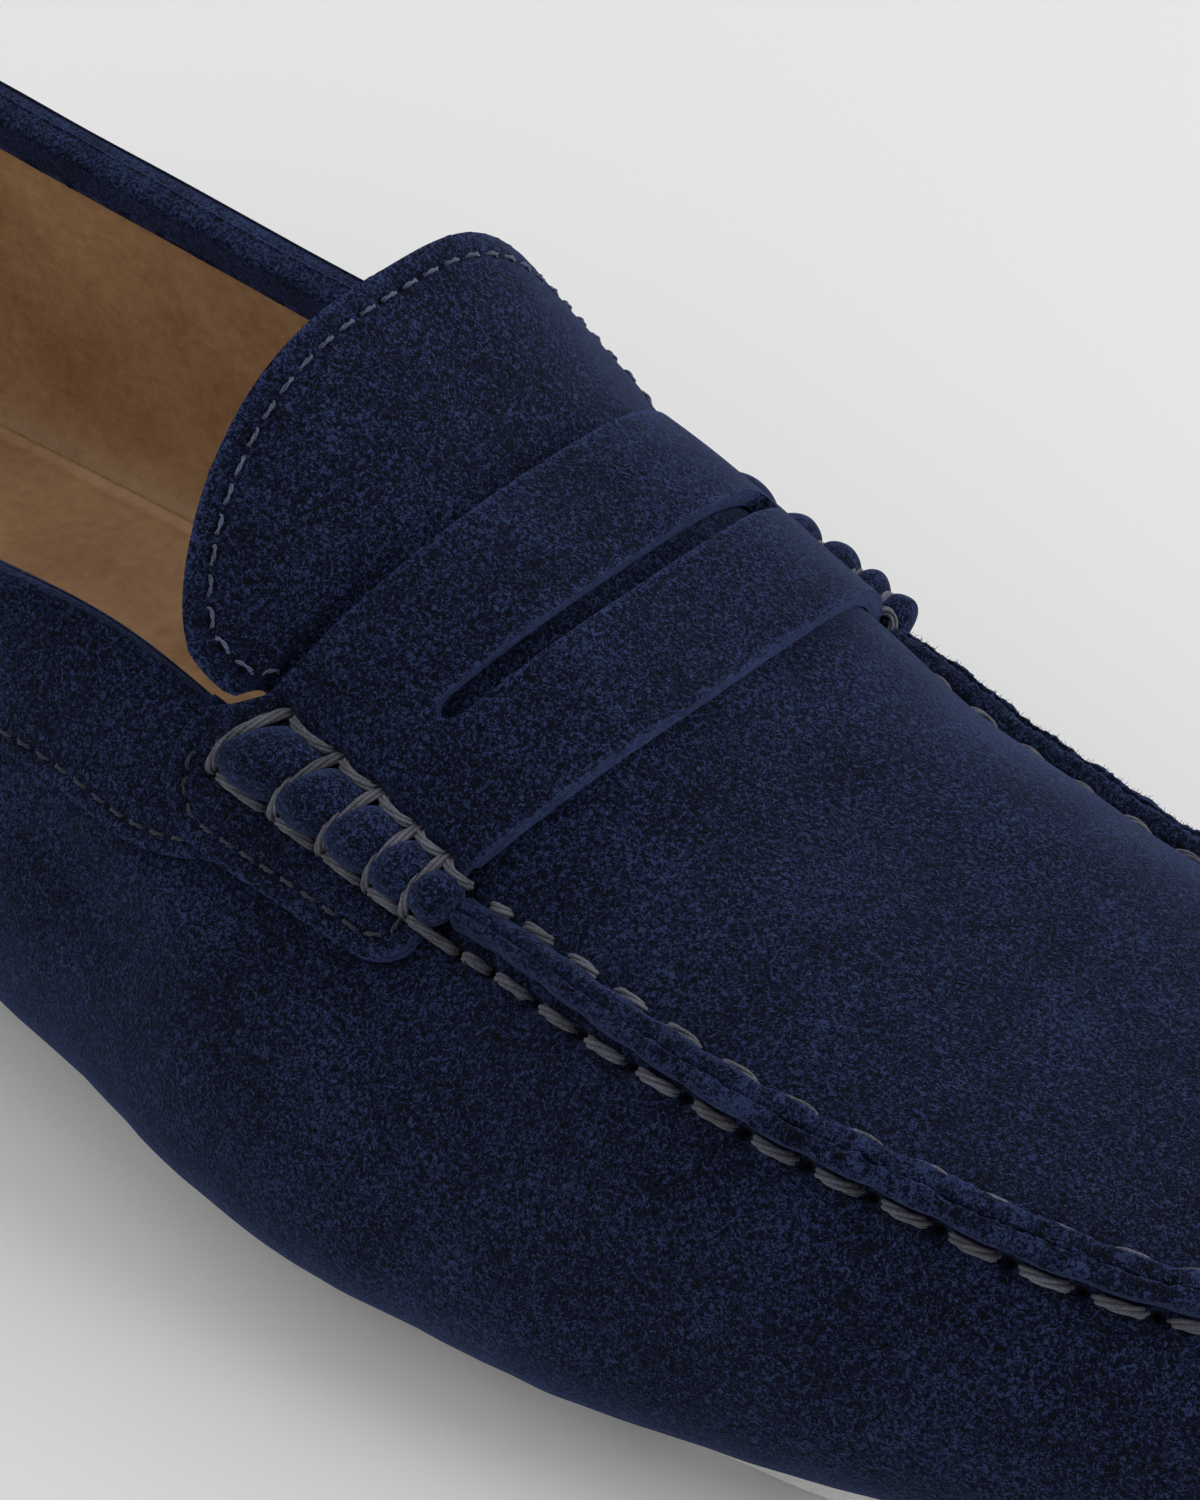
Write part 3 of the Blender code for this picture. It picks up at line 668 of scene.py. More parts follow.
# Soft creases over the wall and the apron: side, along, distance from the rim, to along, distance,
# half width and height, all in mm. A height under 0 is a trough.
creases = (
    (outerSide, 120, -20, 148, -26, 5.0, -0.7), (outerSide, 126, -13, 158, -19, 4.0, 0.5),
    (outerSide, 168, -16, 196, -12, 4.5, -0.45), (outerSide, 205, -12, 232, -16, 5.0, 0.35),
    (outerSide, 60, -18, 96, -28, 6.0, -0.6), (outerSide, 70, -30, 104, -36, 5.0, 0.5),
    (innerSide, 112, -18, 146, -27, 5.0, -0.8), (innerSide, 122, -12, 154, -18, 4.0, 0.5),
    (innerSide, 170, -12, 205, -18, 5.0, -0.5), (innerSide, 62, -20, 98, -30, 6.0, -0.6),
    (outerSide, 196, 12, 206, 40, 5.0, -0.45), (innerSide, 197, 10, 206, 30, 5.0, -0.45),
    (outerSide, 214, 12, 222, 36, 6.0, 0.35), (innerSide, 212, 8, 221, 30, 6.0, 0.35),
)


def creaseHeight(side, along, distance):
    side, along, distance = np.broadcast_arrays(side, along, distance)
    height = np.zeros(along.shape)
    for half, fromX, fromD, toX, toD, width, depth in creases:
        start = np.array([fromX, fromD]) / 1000
        way = np.array([toX, toD]) / 1000 - start
        t = ((along - start[0]) * way[0] + (distance - start[1]) * way[1]) / (way @ way)
        held = np.clip(t, 0, 1)
        gap = np.hypot(along - start[0] - held * way[0], distance - start[1] - held * way[1])
        soft = depth / 1000 * np.exp(-(gap / (width / 1000)) ** 2) * (0.6 + 0.4 * np.sin(math.pi * held))
        height += np.where(side == half, soft, 0)
    return height


strap = {
    "rear": 0.1530, "width": 0.0270, "bow": 0.0090, "thickness": 0.0020, "clear": 0.0003, "throat": 0.45,
    "tabDrop": 0.0120, "tabRise": 0.13, "riseFrom": 0.1550, "tabFlare": 0.0052,
    "rearCorner": 0.0065, "frontCorner": 0.0055,
    "slotWidth": 0.0026, "slotReach": 0.70, "slotShift": -0.044, "stitchInset": 0.0021, "stitchPitch": 0.0026,
}
throat = strap["rear"] + strap["width"] * strap["throat"]
roll = {
    "reach": 0.0008, "nose": 0.0022, "drop": {outerSide: 0.0004, innerSide: 0.0024},
    "footGap": 0.0006, "waist": 0.74, "rise": 0.95, "sink": 0.0008,
    "knots": (0.0, 0.28, 0.49, 0.69, 0.85, 1.06), "lead": 0.17, "leadLoss": 0.15, "cord": 0.00060,
    "lowFoot": 0.0048, "lowLoss": 0.0021, "highFoot": 0.0050, "highLoss": 0.0015, "holeRadius": 0.00100,
    "holeDepth": 0.0014, "bulge": 1.10, "lobeRise": 0.12, "lay": 0.0120, "ply": 5, "foot": 0.0013,
    "lineShare": 0.72,
}
seam = {
    "firstHoles": (0.0015, 0.0053), "pitchNear": 0.0062, "pitchFar": 0.0069, "growth": 0.025,
    "counted": 0.085,
    "wallHole": 0.0027, "lowered": 0.00075, "width": 0.0034, "height": 0.0029, "cord": 0.00058,
    "holeRadius": 0.00082, "holeDepth": 0.0014, "pullRadius": 0.0024, "pullDepth": 0.00025,
    "sunkWidth": 0.0011, "sunkDepth": 0.0002, "apronStitch": 0.0021, "apronLower": 0.00040, "lay": 0.0105,
    "ply": 4, "stitchShare": 0.64, "pinch": 0.0016,
}
seamStart = strap["rear"] + strap["width"] + roll["nose"] + 0.0003


def rollPlace(part):
    start = strap["rear"] - roll["reach"]
    return start + (strap["width"] + roll["nose"] + roll["reach"]) * part


def rollLead(part):  # how much further forward a wrap comes down on the instep
    return roll["lead"] - roll["leadLoss"] * part


def rollEdges(part, side):  # the middle and half width of the roll, whose feet lie inside the holes
    low = roll["lowLoss"] * part - roll["lowFoot"] + roll["footGap"]
    high = roll["highFoot"] - roll["highLoss"] * np.maximum(part, 0) ** 4 - roll["footGap"]
    return (low + high) / 2 - roll["drop"][side], (high - low) / 2


def archOver(side, low, high, foot, lift, turns, fullness, hug=1.0):  # from one foot over to the other
    sides = np.full(len(low), side)
    feet = [onLeather(sides, spot[:, 0], spot[:, 1], foot) for spot in (low, high)]
    ways = [normalOn(sides, spot[:, 0], spot[:, 1]) for spot in (low, high)]
    centre, across = (feet[0] + feet[1]) / 2, (feet[1] - feet[0]) / 2
    up = ways[0] + ways[1]
    up = unit(up - across * (np.sum(up * across, axis=-1) / np.sum(across * across, axis=-1))[:, None])
    crest = onLeather(sides, (low[:, 0] + high[:, 0]) / 2, (low[:, 1] + high[:, 1]) / 2, 0 * lift)
    tall = np.sum((crest - centre) * up, axis=-1) + lift
    reach = np.cos(turns) * (hug + (1 - hug) * np.abs(np.cos(turns)) ** 5)
    return (centre[:, None] - across[:, None] * reach[None, :, None]
            + (up * tall[:, None])[:, None] * (np.sin(turns) ** fullness)[None, :, None])


def rollHoles(side):  # the holes of the cord on the tab and on the instep: place and distance from the rim
    knots = np.array(roll["knots"])
    drop = roll["drop"][side]
    low = np.stack([rollPlace(knots), roll["lowLoss"] * knots - roll["lowFoot"] - drop], axis=-1)
    highPlace = rollPlace(np.minimum(knots + rollLead(knots), 1.02))
    high = np.stack([highPlace, roll["highFoot"] - roll["highLoss"] * knots ** 4 - drop], axis=-1)
    low[-1, 1] = wallHole(holes[0])
    return low, high


def crown(across):
    return 1 - np.minimum(np.abs(across), 1.0) ** last["crownPower"]


def tabPull(drop, corner):
    into = np.clip(drop - (strap["tabDrop"] - corner), 0, corner)
    return corner - np.sqrt(np.maximum(corner ** 2 - into ** 2, 0))


seamSide, seamAlong, seamArc = trip(seamStart, 0.00055, 1.0)


def seamHoles():  # how far along the seam each hole lies, closer together near the strap
    total = seamArc[-1]
    places = list(seam["firstHoles"])
    while places[-1] < seam["counted"]:
        grown = min(places[-1] / seam["growth"], 1.0)
        places.append(places[-1] + seam["pitchNear"] + (seam["pitchFar"] - seam["pitchNear"]) * grown)
    count = max(round((total / 2 - places[-1]) / seam["pitchFar"]), 1)
    places += list(np.linspace(places[-1], total / 2, count + 1)[1:])
    return np.array(places + [total - place for place in reversed(places[:-1])])


def wallHole(arc):  # how far below the rim the stitches enter the wall
    fromEnd = np.minimum(arc, seamArc[-1] - arc)
    return -seam["wallHole"] - seam["lowered"] * (1 - softStep(fromEnd, 0.012, 0.036))


holes = seamHoles()
print("seam length in mm:", round(seamArc[-1] * 1000), "holes:", len(holes))


def roundToe(side, along):  # places counted up the outer side, round the toe and down the inner side
    return np.where(side < 0, along, 2 * last["length"] - along)


def atArc(arc):  # side and along at a length of the seam
    place = np.interp(arc, seamArc, roundToe(seamSide, seamAlong))
    side = np.where(place < last["length"], outerSide, innerSide)
    return side, roundToe(side, place)


def nearHole(arc):  # signed distance to the nearest hole along the seam
    index = np.clip(np.searchsorted(holes, arc), 1, len(holes) - 1)
    before, after = arc - holes[index - 1], arc - holes[index]
    return np.where(np.abs(before) < np.abs(after), before, after)


def makeWall():
    # The skin of the wall and quarters, finer along the seam, where its holes are pits.
    side, along = fullRing(0.00050, 1.0, 0.0016, strap["rear"] - 0.004)
    arc = np.interp(roundToe(side, along), roundToe(seamSide, seamAlong), seamArc, -1.0, seamArc[-1] + 1.0)
    upperRows = -np.concatenate([np.arange(9, 5, -0.8), np.arange(5, 0.9, -0.26), [0.6, 0.3, 0.0]]) / 1000
    top = levelAt(side, along, upperRows[0])
    bulge = last["bulgeLevel"]
    rows = [np.full(len(side), level) for level in (-1.0, -0.5, 0.0, 0.06, 0.12, 0.18, 0.24, 0.30, bulge)]
    rows += [bulge + (top - bulge) * t for t in np.linspace(0, 1, 22)[1:-1]]
    rows += [np.minimum(levelAt(side, along, d), 1.0) for d in upperRows]
    level = np.array(rows)
    side2, along2 = np.broadcast_to(side, level.shape), np.broadcast_to(along, level.shape)
    base = lastPoint(side2, along2, level)
    rim = lastPoint(side, along, 1.0)
    distance = -np.linalg.norm(base - rim, axis=-1)
    around = nearHole(np.broadcast_to(arc, level.shape))
    seamed = np.broadcast_to((arc > -0.5) & (arc < seamArc[-1] + 0.5), level.shape)
    below = distance - wallHole(arc)
    gap = np.hypot(around, below)
    # The stitch holes are sunk in, and the same mask paints them dark as their shade.
    pitShade = np.where(seamed, np.exp(-(gap / seam["holeRadius"]) ** 2), 0)
    pull = np.where(seamed, np.exp(-(gap / seam["pullRadius"]) ** 2), 0)
    sunk = np.where(seamed, np.exp(-(below / seam["sunkWidth"]) ** 2), 0)
    height = creaseHeight(side2, along2, distance)
    height = height - pitShade * seam["holeDepth"] - pull * seam["pullDepth"] - sunk * seam["sunkDepth"]
    height = height + 0.00025 * lumpy(base, 0.016, 5) + 0.00008 * lumpy(base, 0.004, 6)
    points = base + lastNormal(side2, along2, level) * height[..., None]
    inward = lastNormal(side, along, 0.99)
    for depth, drop in ((0.0004, -0.0001), (0.0009, 0.0004), (0.0011, 0.0012)):
        points = np.concatenate([points, (points[-1] - inward * depth * 0.6 - [0, 0, drop])[None]])
    pitShade = np.concatenate([pitShade, np.zeros((3, len(side)))])
    piece = addPiece("upperWall", points.reshape(-1, 3), gridFaces(*points.shape[:2], closed=True), ["suede"],
                     {"pitShade": pitShade, "worn": 0 * pitShade})
    turnOutward(piece.data, fromAxis)
    return piece


def makeApron():
    toe = last["toeCentre"] * last["length"]
    nearToe = toe + (last["length"] - toe) * np.linspace(0, 1, 56)
    alongs = np.concatenate([np.arange(throat, toe, 0.0009), nearToe])
    outs = np.concatenate([np.linspace(1.0, 0.9, 9), np.linspace(0.9, 0.0, 42)[1:]])
    across = np.concatenate([-outs, outs[::-1][1:]])
    along, a = np.meshgrid(alongs, across, indexing="ij")
    side = np.where(a < 0, outerSide, innerSide)
    level = 2 - np.abs(a)
    base = lastPoint(side, along, level)
    rim = lastPoint(side, along, 1.0)
    distance = np.linalg.norm(base - rim, axis=-1)
    height = creaseHeight(side, along, distance)
    height = height + 0.0003 * lumpy(base, 0.020, 7) + 0.00008 * lumpy(base, 0.005, 8)
    height = height * softStep(distance, 0.0, 0.004)
    points = base + lastNormal(side, along, level) * height[..., None]
    piece = addPiece("apron", points.reshape(-1, 3), gridFaces(*points.shape[:2]), ["suede"],
                     {"pitShade": 0 * level, "worn": 0 * level}, mergeGap)
    turnOutward(piece.data, lambda p: np.array([0.0, 0.0, 1.0]))
    return piece


def makeRidge():
    # The two turned-up edges of wall and apron, side by side, with frayed tops and a thin groove between.
    half = seam["width"] / 2
    tall = seam["height"]
    wallLip = [(-half * 1.12, -0.0004), (-half * 1.06, tall * 0.3), (-half * 0.96, tall * 0.58),
               (-half * 0.85, tall * 0.80), (-half * 0.74, tall * 0.94), (-half * 0.58, tall * 1.0),
               (-half * 0.34, tall * 0.99), (-half * 0.14, tall * 0.98), (-half * 0.05, tall * 0.95),
               (0.0, tall * 0.90), (0.0, -0.0004)]
    side, along, arc = trip(seamStart, 0.00022, 1.0)
    pinch = np.exp(-(nearHole(arc) / seam["pinch"]) ** 2)
    made = []
    roots, ways = [], []
    for name, sign, seed in (("ridgeWall", 1, 41), ("ridgeApron", -1, 47)):
        across = np.array([d for d, h in wallLip]) * sign
        rise = np.array([h for d, h in wallLip])
        spread = across[None, :] * (1 - 0.12 * pinch[:, None])
        place = np.stack([arc[:, None] + 0 * spread, spread, rise[None, :] + 0 * spread], axis=-1)
        high = softStep(rise, tall * 0.5, tall * 0.9)[None, :]
        edge = np.exp(-((np.abs(across) - half * 0.66) / (half * 0.20)) ** 2)[None, :] * high
        rough = lumpy(place, 0.0005, seed) * 0.6 + lumpy(place, 0.0014, seed + 1)
        spread = spread + (0.00008 + 0.00016 * edge) * rough * high
        uneven = 0.00016 * lumpy(place, 0.0005, seed + 2) + 0.00020 * lumpy(place, 0.0040, seed + 3)
        lift = rise[None, :] * (1 - 0.05 * pinch[:, None]) + high * uneven
        lift = lift - (sign < 0) * seam["apronLower"] * high
        points = onLeather(side[:, None], along[:, None], spread, lift)
        rows, count = points.shape[:2]
        onTop = softStep(rise, tall * 0.88, tall * 0.99)[None, :]
        worn = onTop * (0.35 + 0.4 * edge) + rough * onTop
        piece = addPiece(name, points.reshape(-1, 3), tubeFaces(rows, count), ["suede"],
                         {"worn": worn, "pitShade": 0 * worn})
        settle(piece.data)
        made.append(piece)
        for column in (4, 5, 7):
            rootRows = np.arange(column, rows - 1, 3)
            roots.append(points[rootRows, column])
            ways.append(points[rootRows, 5] - points[rootRows, 0])
    ways = unit(np.concatenate(ways))
    made.append(hairs("ridgeFray", np.concatenate(roots), ways, 0.0006, 0.000036, 61, "suedeEdge"))
    return made


def settle(mesh):  # makes the faces of a closed piece agree and look outward
    bm = bmesh.new()
    bm.from_mesh(mesh)
    bmesh.ops.recalc_face_normals(bm, faces=bm.faces)
    bm.to_mesh(mesh)
    bm.free()


def makeSeamStitches():
    parts = []
    t = np.linspace(0, 1, 17)
    rise = np.sin(math.pi * t)
    for first, second in zip(holes, holes[1:]):
        arc = first + (second - first) * (0.5 + seam["stitchShare"] * (t - 0.5))
        side, along = atArc(arc)
        for distance, height in ((wallHole(arc), -0.0013 + 0.0018 * rise ** 0.45),
                                 (seam["apronStitch"], -0.0011 + (0.0014 - 0.0002 * side) * rise ** 0.45)):
            path = onLeather(side, along, distance, height)
            up = normalOn(side, along, distance)
            parts.append(rope(path, up, seam["cord"], seam["ply"], seam["lay"], first * 900))
    points, faces = gather(parts)
    return addPiece("seamStitches", points, faces, ["thread"])


def makeRoll(name, side):
    knots = np.array(roll["knots"])
    lobes = [np.linspace(a, min(b, 1.0), 19) for a, b in zip(knots, knots[1:])]
    parts = np.unique(np.concatenate([[-0.02, -0.01]] + lobes))
    turns = np.linspace(0, math.pi, 33)
    floor = strap["clear"] + strap["thickness"] + strap["clear"]
    lobe = np.clip(np.searchsorted(knots, parts, side="right") - 1, 0, len(knots) - 2)
    t = np.clip((parts - knots[lobe]) / (knots[lobe + 1] - knots[lobe]), 0, 1)
    swell = np.sin(math.pi * t) ** 0.55
    nose = np.clip((parts - 0.94) / 0.06, 0, 1)
    rear = np.clip(-parts / 0.02, 0, 1)
    middle, half = rollEdges(parts, side)
    half = half * (roll["waist"] + (roll["bulge"] - roll["waist"]) * swell)
    half = half * np.sqrt(1 - 0.7 * nose ** 2) * (1 - 0.25 * rear)
    low = np.stack([rollPlace(parts), middle - half], axis=-1)
    high = np.stack([rollPlace(parts + rollLead(parts)), middle + half], axis=-1)
    lift = floor + half * roll["rise"] * (1 + roll["lobeRise"] * swell)
    points = archOver(side, low, high, floor - roll["sink"], lift, turns, 0.92)
    uneven = 0.00012 * lumpy(points, 0.0022, 9)
    points = points + unit(points - points.mean(axis=(0, 1))) * uneven[..., None]
    under = rollPlace(parts + rollLead(parts) * 0.5)[:, None] + np.zeros(3)
    underneath = half[:, None] * np.array([0.5, 0.0, -0.5])[None, :] + middle[:, None]
    back = onLeather(np.full((len(parts), 3), side), under, underneath, floor - roll["sink"])
    points = np.concatenate([points, back], axis=1)
    rows, count = points.shape[:2]
    # Painted shade: the colour darkens in the folds where the lobes meet.
    foldShade = np.repeat(0.4 * np.exp(-(np.minimum(t, 1 - t) * 10) ** 2)[:, None], count, axis=1)
    piece = addPiece(name, points.reshape(-1, 3), tubeFaces(rows, count), ["rollSuedePaintedLight"],
                     {"pitShade": foldShade, "worn": 0 * foldShade})
    settle(piece.data)
    return piece


def makeRollCords(name, side):
    # A wrap over the roll at each knot, and a line of rope along each foot.
    floor = strap["clear"] + strap["thickness"]
    low, high = rollHoles(side)
    parts = []
    turn = np.linspace(0, math.pi, 33)
    for knot, lowHole, highHole in list(zip(roll["knots"], low, high))[:-1]:
        middle, half = rollEdges(knot, side)
        lift = np.array([floor + half * roll["waist"] * roll["rise"] + roll["cord"] * 0.4])
        hug = (half * roll["waist"] + roll["cord"] * 0.9) / (half + roll["footGap"])
        path = archOver(side, lowHole[None], highHole[None], floor - roll["foot"], lift, turn, 0.9, hug)[0]
        up = unit(path - (path[0] + path[-1]) / 2)
        parts.append(rope(path, up, roll["cord"], roll["ply"], roll["lay"], knot * 5))
    t = np.linspace(0, 1, 17)
    for line, edge in ((low, strap["rear"] + strap["width"]), (high, rollPlace(1.1))):
        for a, b in zip(line, line[1:]):
            spot = a + (b - a) * (0.5 + roll["lineShare"] * (t - 0.5))[:, None]
            on = 1 - softStep(spot[:, 0], edge - 0.0010, edge + 0.0022)
            height = floor * on - 0.0011 + 0.0019 * np.sin(math.pi * t) ** 0.45
            sides = np.full(len(t), side)
            path = onLeather(sides, spot[:, 0], spot[:, 1], height)
            up = normalOn(sides, spot[:, 0], spot[:, 1])
            parts.append(rope(path, up, roll["cord"] * 0.92, roll["ply"], roll["lay"], a[0] * 900))
    points, faces = gather(parts)
    return addPiece(name, points, faces, ["thread"])


def strapAcross():  # rows over the instep as a side and a distance from the rim, tab end to tab end
    middle = strap["rear"] + strap["width"] / 2
    bend = strap["rearCorner"]
    corner = strap["tabDrop"] - bend * (1 - np.sin(np.linspace(math.pi / 2, 0, 19)))
    rows = []
    for side in (outerSide, innerSide):
        levels = np.linspace(1.0, 2.0, 401)
        top = arcOf(lastPoint(side, middle, levels))[-1]
        reach = np.concatenate([-corner, np.arange(-strap["tabDrop"] + bend, 0.0, 0.0004)[1:],
                                np.linspace(0, top, int(top / 0.00045))])
        rows.append((side, reach, top))
    return rows


def tabRise(along, drop):  # how much a tab's lower part rises to the front
    return strap["tabRise"] * np.maximum(along - strap["riseFrom"], 0) * drop / strap["tabDrop"]


def strapPoint(side, distance, part, height):
    # part runs from the rear edge (0) to the front edge (1), at a distance from the rim.
    middle = strap["rear"] + strap["width"] / 2
    atMiddle = levelAt(side, middle, distance)
    atMiddle = np.where(distance >= strapTop[side] - 1e-6, 2.0, atMiddle)
    across = np.clip(2 - atMiddle, 0, 1)
    drop = np.maximum(-distance, 0)
    flare = strap["tabFlare"] * (1 - softStep(distance, -0.0040, 0.0065))
    bow = strap["bow"] * np.where(distance > 0, crown(across), 0)
    rear = strap["rear"] - flare + tabPull(drop, strap["rearCorner"]) + bow
    front = strap["rear"] + strap["width"] - tabPull(drop, strap["frontCorner"]) + bow
    along = rear + (front - rear) * part
    raised = distance + tabRise(along, drop)
    mixed = softStep(distance, 0.0, 0.008)
    level = levelAt(side, along, raised) * (1 - mixed) + atMiddle * mixed
    sides = np.full(np.broadcast(along, level).shape, side)
    return lifted(sides, along, np.broadcast_to(level, sides.shape), height), along, raised, front - rear


strapRows = strapAcross()
strapTop = {side: top for side, reach, top in strapRows}


def makeStrap():
    shares = np.concatenate([np.linspace(0, 0.5, 41), np.linspace(0.5, 1, 41)])
    height = strap["clear"] + strap["thickness"]
    grids, pitShades, wears, skips = [], [], [], []
    route, count = tabStitchRoute()
    for side, reach, top in strapRows:
        distance = reach[:, None]
        middle = strap["rear"] + strap["width"] / 2
        atMiddle = np.where(reach >= top - 1e-6, 2.0, levelAt(side, middle, reach))
        across = side * (2 - atMiddle)
        inSlot = np.abs(across - strap["slotShift"])
        ending = np.clip((strap["slotReach"] - inSlot) / 0.045, 0, 1)
        halfSlot = np.where(reach > 0, strap["slotWidth"] / 2 * np.sqrt(1 - (1 - ending) ** 2), 0.0)
        halfShare = (halfSlot / strap["width"])[:, None]
        front = np.concatenate([np.zeros((1, 41), bool), np.ones((1, 41), bool)], axis=1)
        part = np.where(front, 0.5 + halfShare + (shares[None, :] - 0.5) * (1 - 2 * halfShare),
                        shares[None, :] * (1 - 2 * halfShare))
        points, along, raised, wide = strapPoint(side, distance, part, np.full(part.shape, height))
        spots = np.stack([along, raised], axis=-1)
        low, high = rollHoles(side)
        # The holes of the roll's cords are sunk in, and this mask also paints them dark as their shade.
        pitShade = np.exp(-(gapTo(spots, np.concatenate([low, high])) / roll["holeRadius"]) ** 2)
        lineLow = np.abs(raised - np.interp(along, low[:, 0], low[:, 1]))
        lineHigh = np.abs(raised - np.interp(along, high[:, 0], high[:, 1]))
        held = (along > low[0, 0]) * (along < low[-1, 0])
        inLine = held * np.exp(-(np.minimum(lineLow, lineHigh) / 0.0008) ** 2)
        groove, holeShade = stitchMarks(spots, route, count, 0.00038)
        rim = np.minimum(part * wide, (1 - part) * wide)
        rim = np.minimum(rim, np.maximum(distance + strap["tabDrop"], 0.0))
        onSlot = np.where(halfSlot[:, None] > 0, np.abs(part - 0.5) * wide - halfSlot[:, None], 1.0)
        edge = 0.8 * np.exp(-(rim / 0.0005) ** 2) + 0.7 * np.exp(-(onSlot / 0.0005) ** 2)
        sunk = roll["holeDepth"] * pitShade + 0.0003 * inLine + 0.00018 * groove + 0.0004 * holeShade
        wave = 0.00012 * lumpy(points, 0.010, 12)
        outward = unit(points - stack(points[..., 0], spineY(points[..., 0]), 0.02))
        points = points + (wave - sunk)[..., None] * outward
        worn = edge * (1 + 0.5 * lumpy(points, 0.0016, 13))
        # Painted shade in the stitch holes too.
        pitShade = np.maximum(pitShade, 0.8 * holeShade)
        slotCells = np.zeros((len(reach) - 1, len(shares) - 1), bool)
        slotCells[:, 40] = (halfSlot[:-1] > 0) | (halfSlot[1:] > 0)
        if side == innerSide:
            points, pitShade, worn = (values[::-1][1:] for values in (points, pitShade, worn))
            slotCells = slotCells[::-1]
        grids.append(points)
        pitShades.append(pitShade)
        wears.append(worn)
        skips.append(slotCells)
    marks = {"pitShade": np.concatenate(pitShades), "worn": np.concatenate(wears)}
    return leather("strapLeather", np.concatenate(grids), strap["thickness"], marks, 0.0005, 0.00007,
                   skip=np.concatenate(skips))


fine = {"radius": 0.00023, "length": 0.62, "rise": 0.00026, "lay": 0.0024}  # length as a share of the pitch


def fineStitches(name, path, up, count, finish):
    # Short stitches along an open path, each arched, with its ends under the leather.
    arc = arcOf(path)
    step = arc[-1] / count
    parts = []
    t = np.linspace(0, 1, 9)
    for k in range(count):
        s = step * (k + 0.5 + fine["length"] * (t - 0.5))
        lift = unit(spotsOn(s, arc, up))
        rise = fine["rise"] * (np.sin(math.pi * t) ** 0.5 * 2.0 - 1.0)
        centre = spotsOn(s, arc, path) + lift * rise[:, None]
        parts.append(rope(centre, lift, fine["radius"], 2, fine["lay"], k * 2.1))
    points, faces = gather(parts)
    return addPiece(name, points, faces, [finish])


def tabStitchRoute():  # round the tab, a little in from its edge, as places and distances from the rim
    bend = strap["rearCorner"]
    deep = np.concatenate([np.linspace(0.0045, strap["tabDrop"] - bend, 9)[:-1],
                           strap["tabDrop"] - bend * (1 - np.sin(np.linspace(0, math.pi / 2, 40)))])
    rear = strap["rear"] - strap["tabFlare"] + tabPull(deep, strap["rearCorner"])
    front = strap["rear"] + strap["width"] - tabPull(deep, strap["frontCorner"])
    outline = np.concatenate([np.stack([rear, tabRise(rear, deep) - deep], axis=-1),
                              np.stack([front, tabRise(front, deep) - deep], axis=-1)[::-1]])
    route = insetLine(outline, strap["stitchInset"], 0.0003)
    return route, max(round(arcOf(route)[-1] / strap["stitchPitch"]), 1)


def tabStitchLine(side):
    route, count = tabStitchRoute()
    sides = np.full(len(route), side)
    height = np.full(len(route), strap["clear"] + strap["thickness"] - 0.0001)
    up = normalOn(sides, route[:, 0], route[:, 1])
    return onLeather(sides, route[:, 0], route[:, 1], height), up, count


tongue = {
    "length": 0.0245, "slope": math.radians(39), "spread": 0.9355, "edge": 0.9455, "power": 2.95,
    "swell": 0.0046, "clear": 0.06, "bend": 0.0012, "thickness": 0.0022,
    "stitchInset": 0.0026, "pitch": 0.0028,
}
tongueNormal = np.array([math.sin(tongue["slope"]), 0, math.cos(tongue["slope"])])


def tongueReach(across):  # how far the flap stands out, as a share of its length
    return (1 - (np.abs(across) / tongue["edge"]) ** tongue["power"]) ** (1 / tongue["power"])


def tonguePoint(across, part):  # part -1 to 0 lies under the strap, 0 to 1 stands up behind it
    rear = strap["rear"] + strap["bow"] * crown(across) - tongue["bend"]
    side = np.where(across < 0, outerSide, innerSide)
    along = rear + np.maximum(throat - strap["clear"] - rear, 0.0) * np.clip(-part, 0, 1)
    out = tongueReach(across) * np.clip(part, 0, 1)
    free = np.minimum(out / tongue["clear"], 1) ** 2
    swell = tongue["swell"] * free * np.sin(math.pi * np.sqrt(out)) * (across / tongue["spread"]) ** 4
    reach = tongue["length"] * out
    rise = stack(-reach * math.cos(tongue["slope"]), side * swell, reach * math.sin(tongue["slope"]))
    return lastPoint(side, along, 2 - np.abs(across)) + rise


def tongueFace(across, part):  # the same with its soft unevenness
    points = tonguePoint(across, part)
    soft = 0.00030 * lumpy(points, 0.018, 14) + 0.00008 * lumpy(points, 0.004, 15)
    return points + tongueNormal * (soft * np.clip(part * 8, 0, 1))[..., None]


def tongueFlat(across):  # the flap laid flat: how far over it, and how far up its root and its edge lie
    root = tonguePoint(across, 0 * across)
    way = np.array([-math.cos(tongue["slope"]), 0, math.sin(tongue["slope"])])
    up = root @ way
    over = arcOf(root - up[:, None] * way)
    return over, up, up + tongue["length"] * tongueReach(across)


def tongueStitchRoute():
    across = np.linspace(-tongue["spread"], tongue["spread"], 900)
    over, low, high = tongueFlat(across)
    rise = np.linspace(0.04, 1, 40)[:-1]
    left = np.stack([over[0] + 0 * rise, low[0] + (high[0] - low[0]) * rise], axis=-1)
    right = np.stack([over[-1] + 0 * rise, low[-1] + (high[-1] - low[-1]) * rise], axis=-1)
    outline = np.concatenate([left, np.stack([over, high], axis=-1), right[::-1]])
    route = insetLine(outline[::-1], tongue["stitchInset"], 0.0003)
    return outline, route, max(round(arcOf(route)[-1] / tongue["pitch"]), 1), (across, over, low, high)


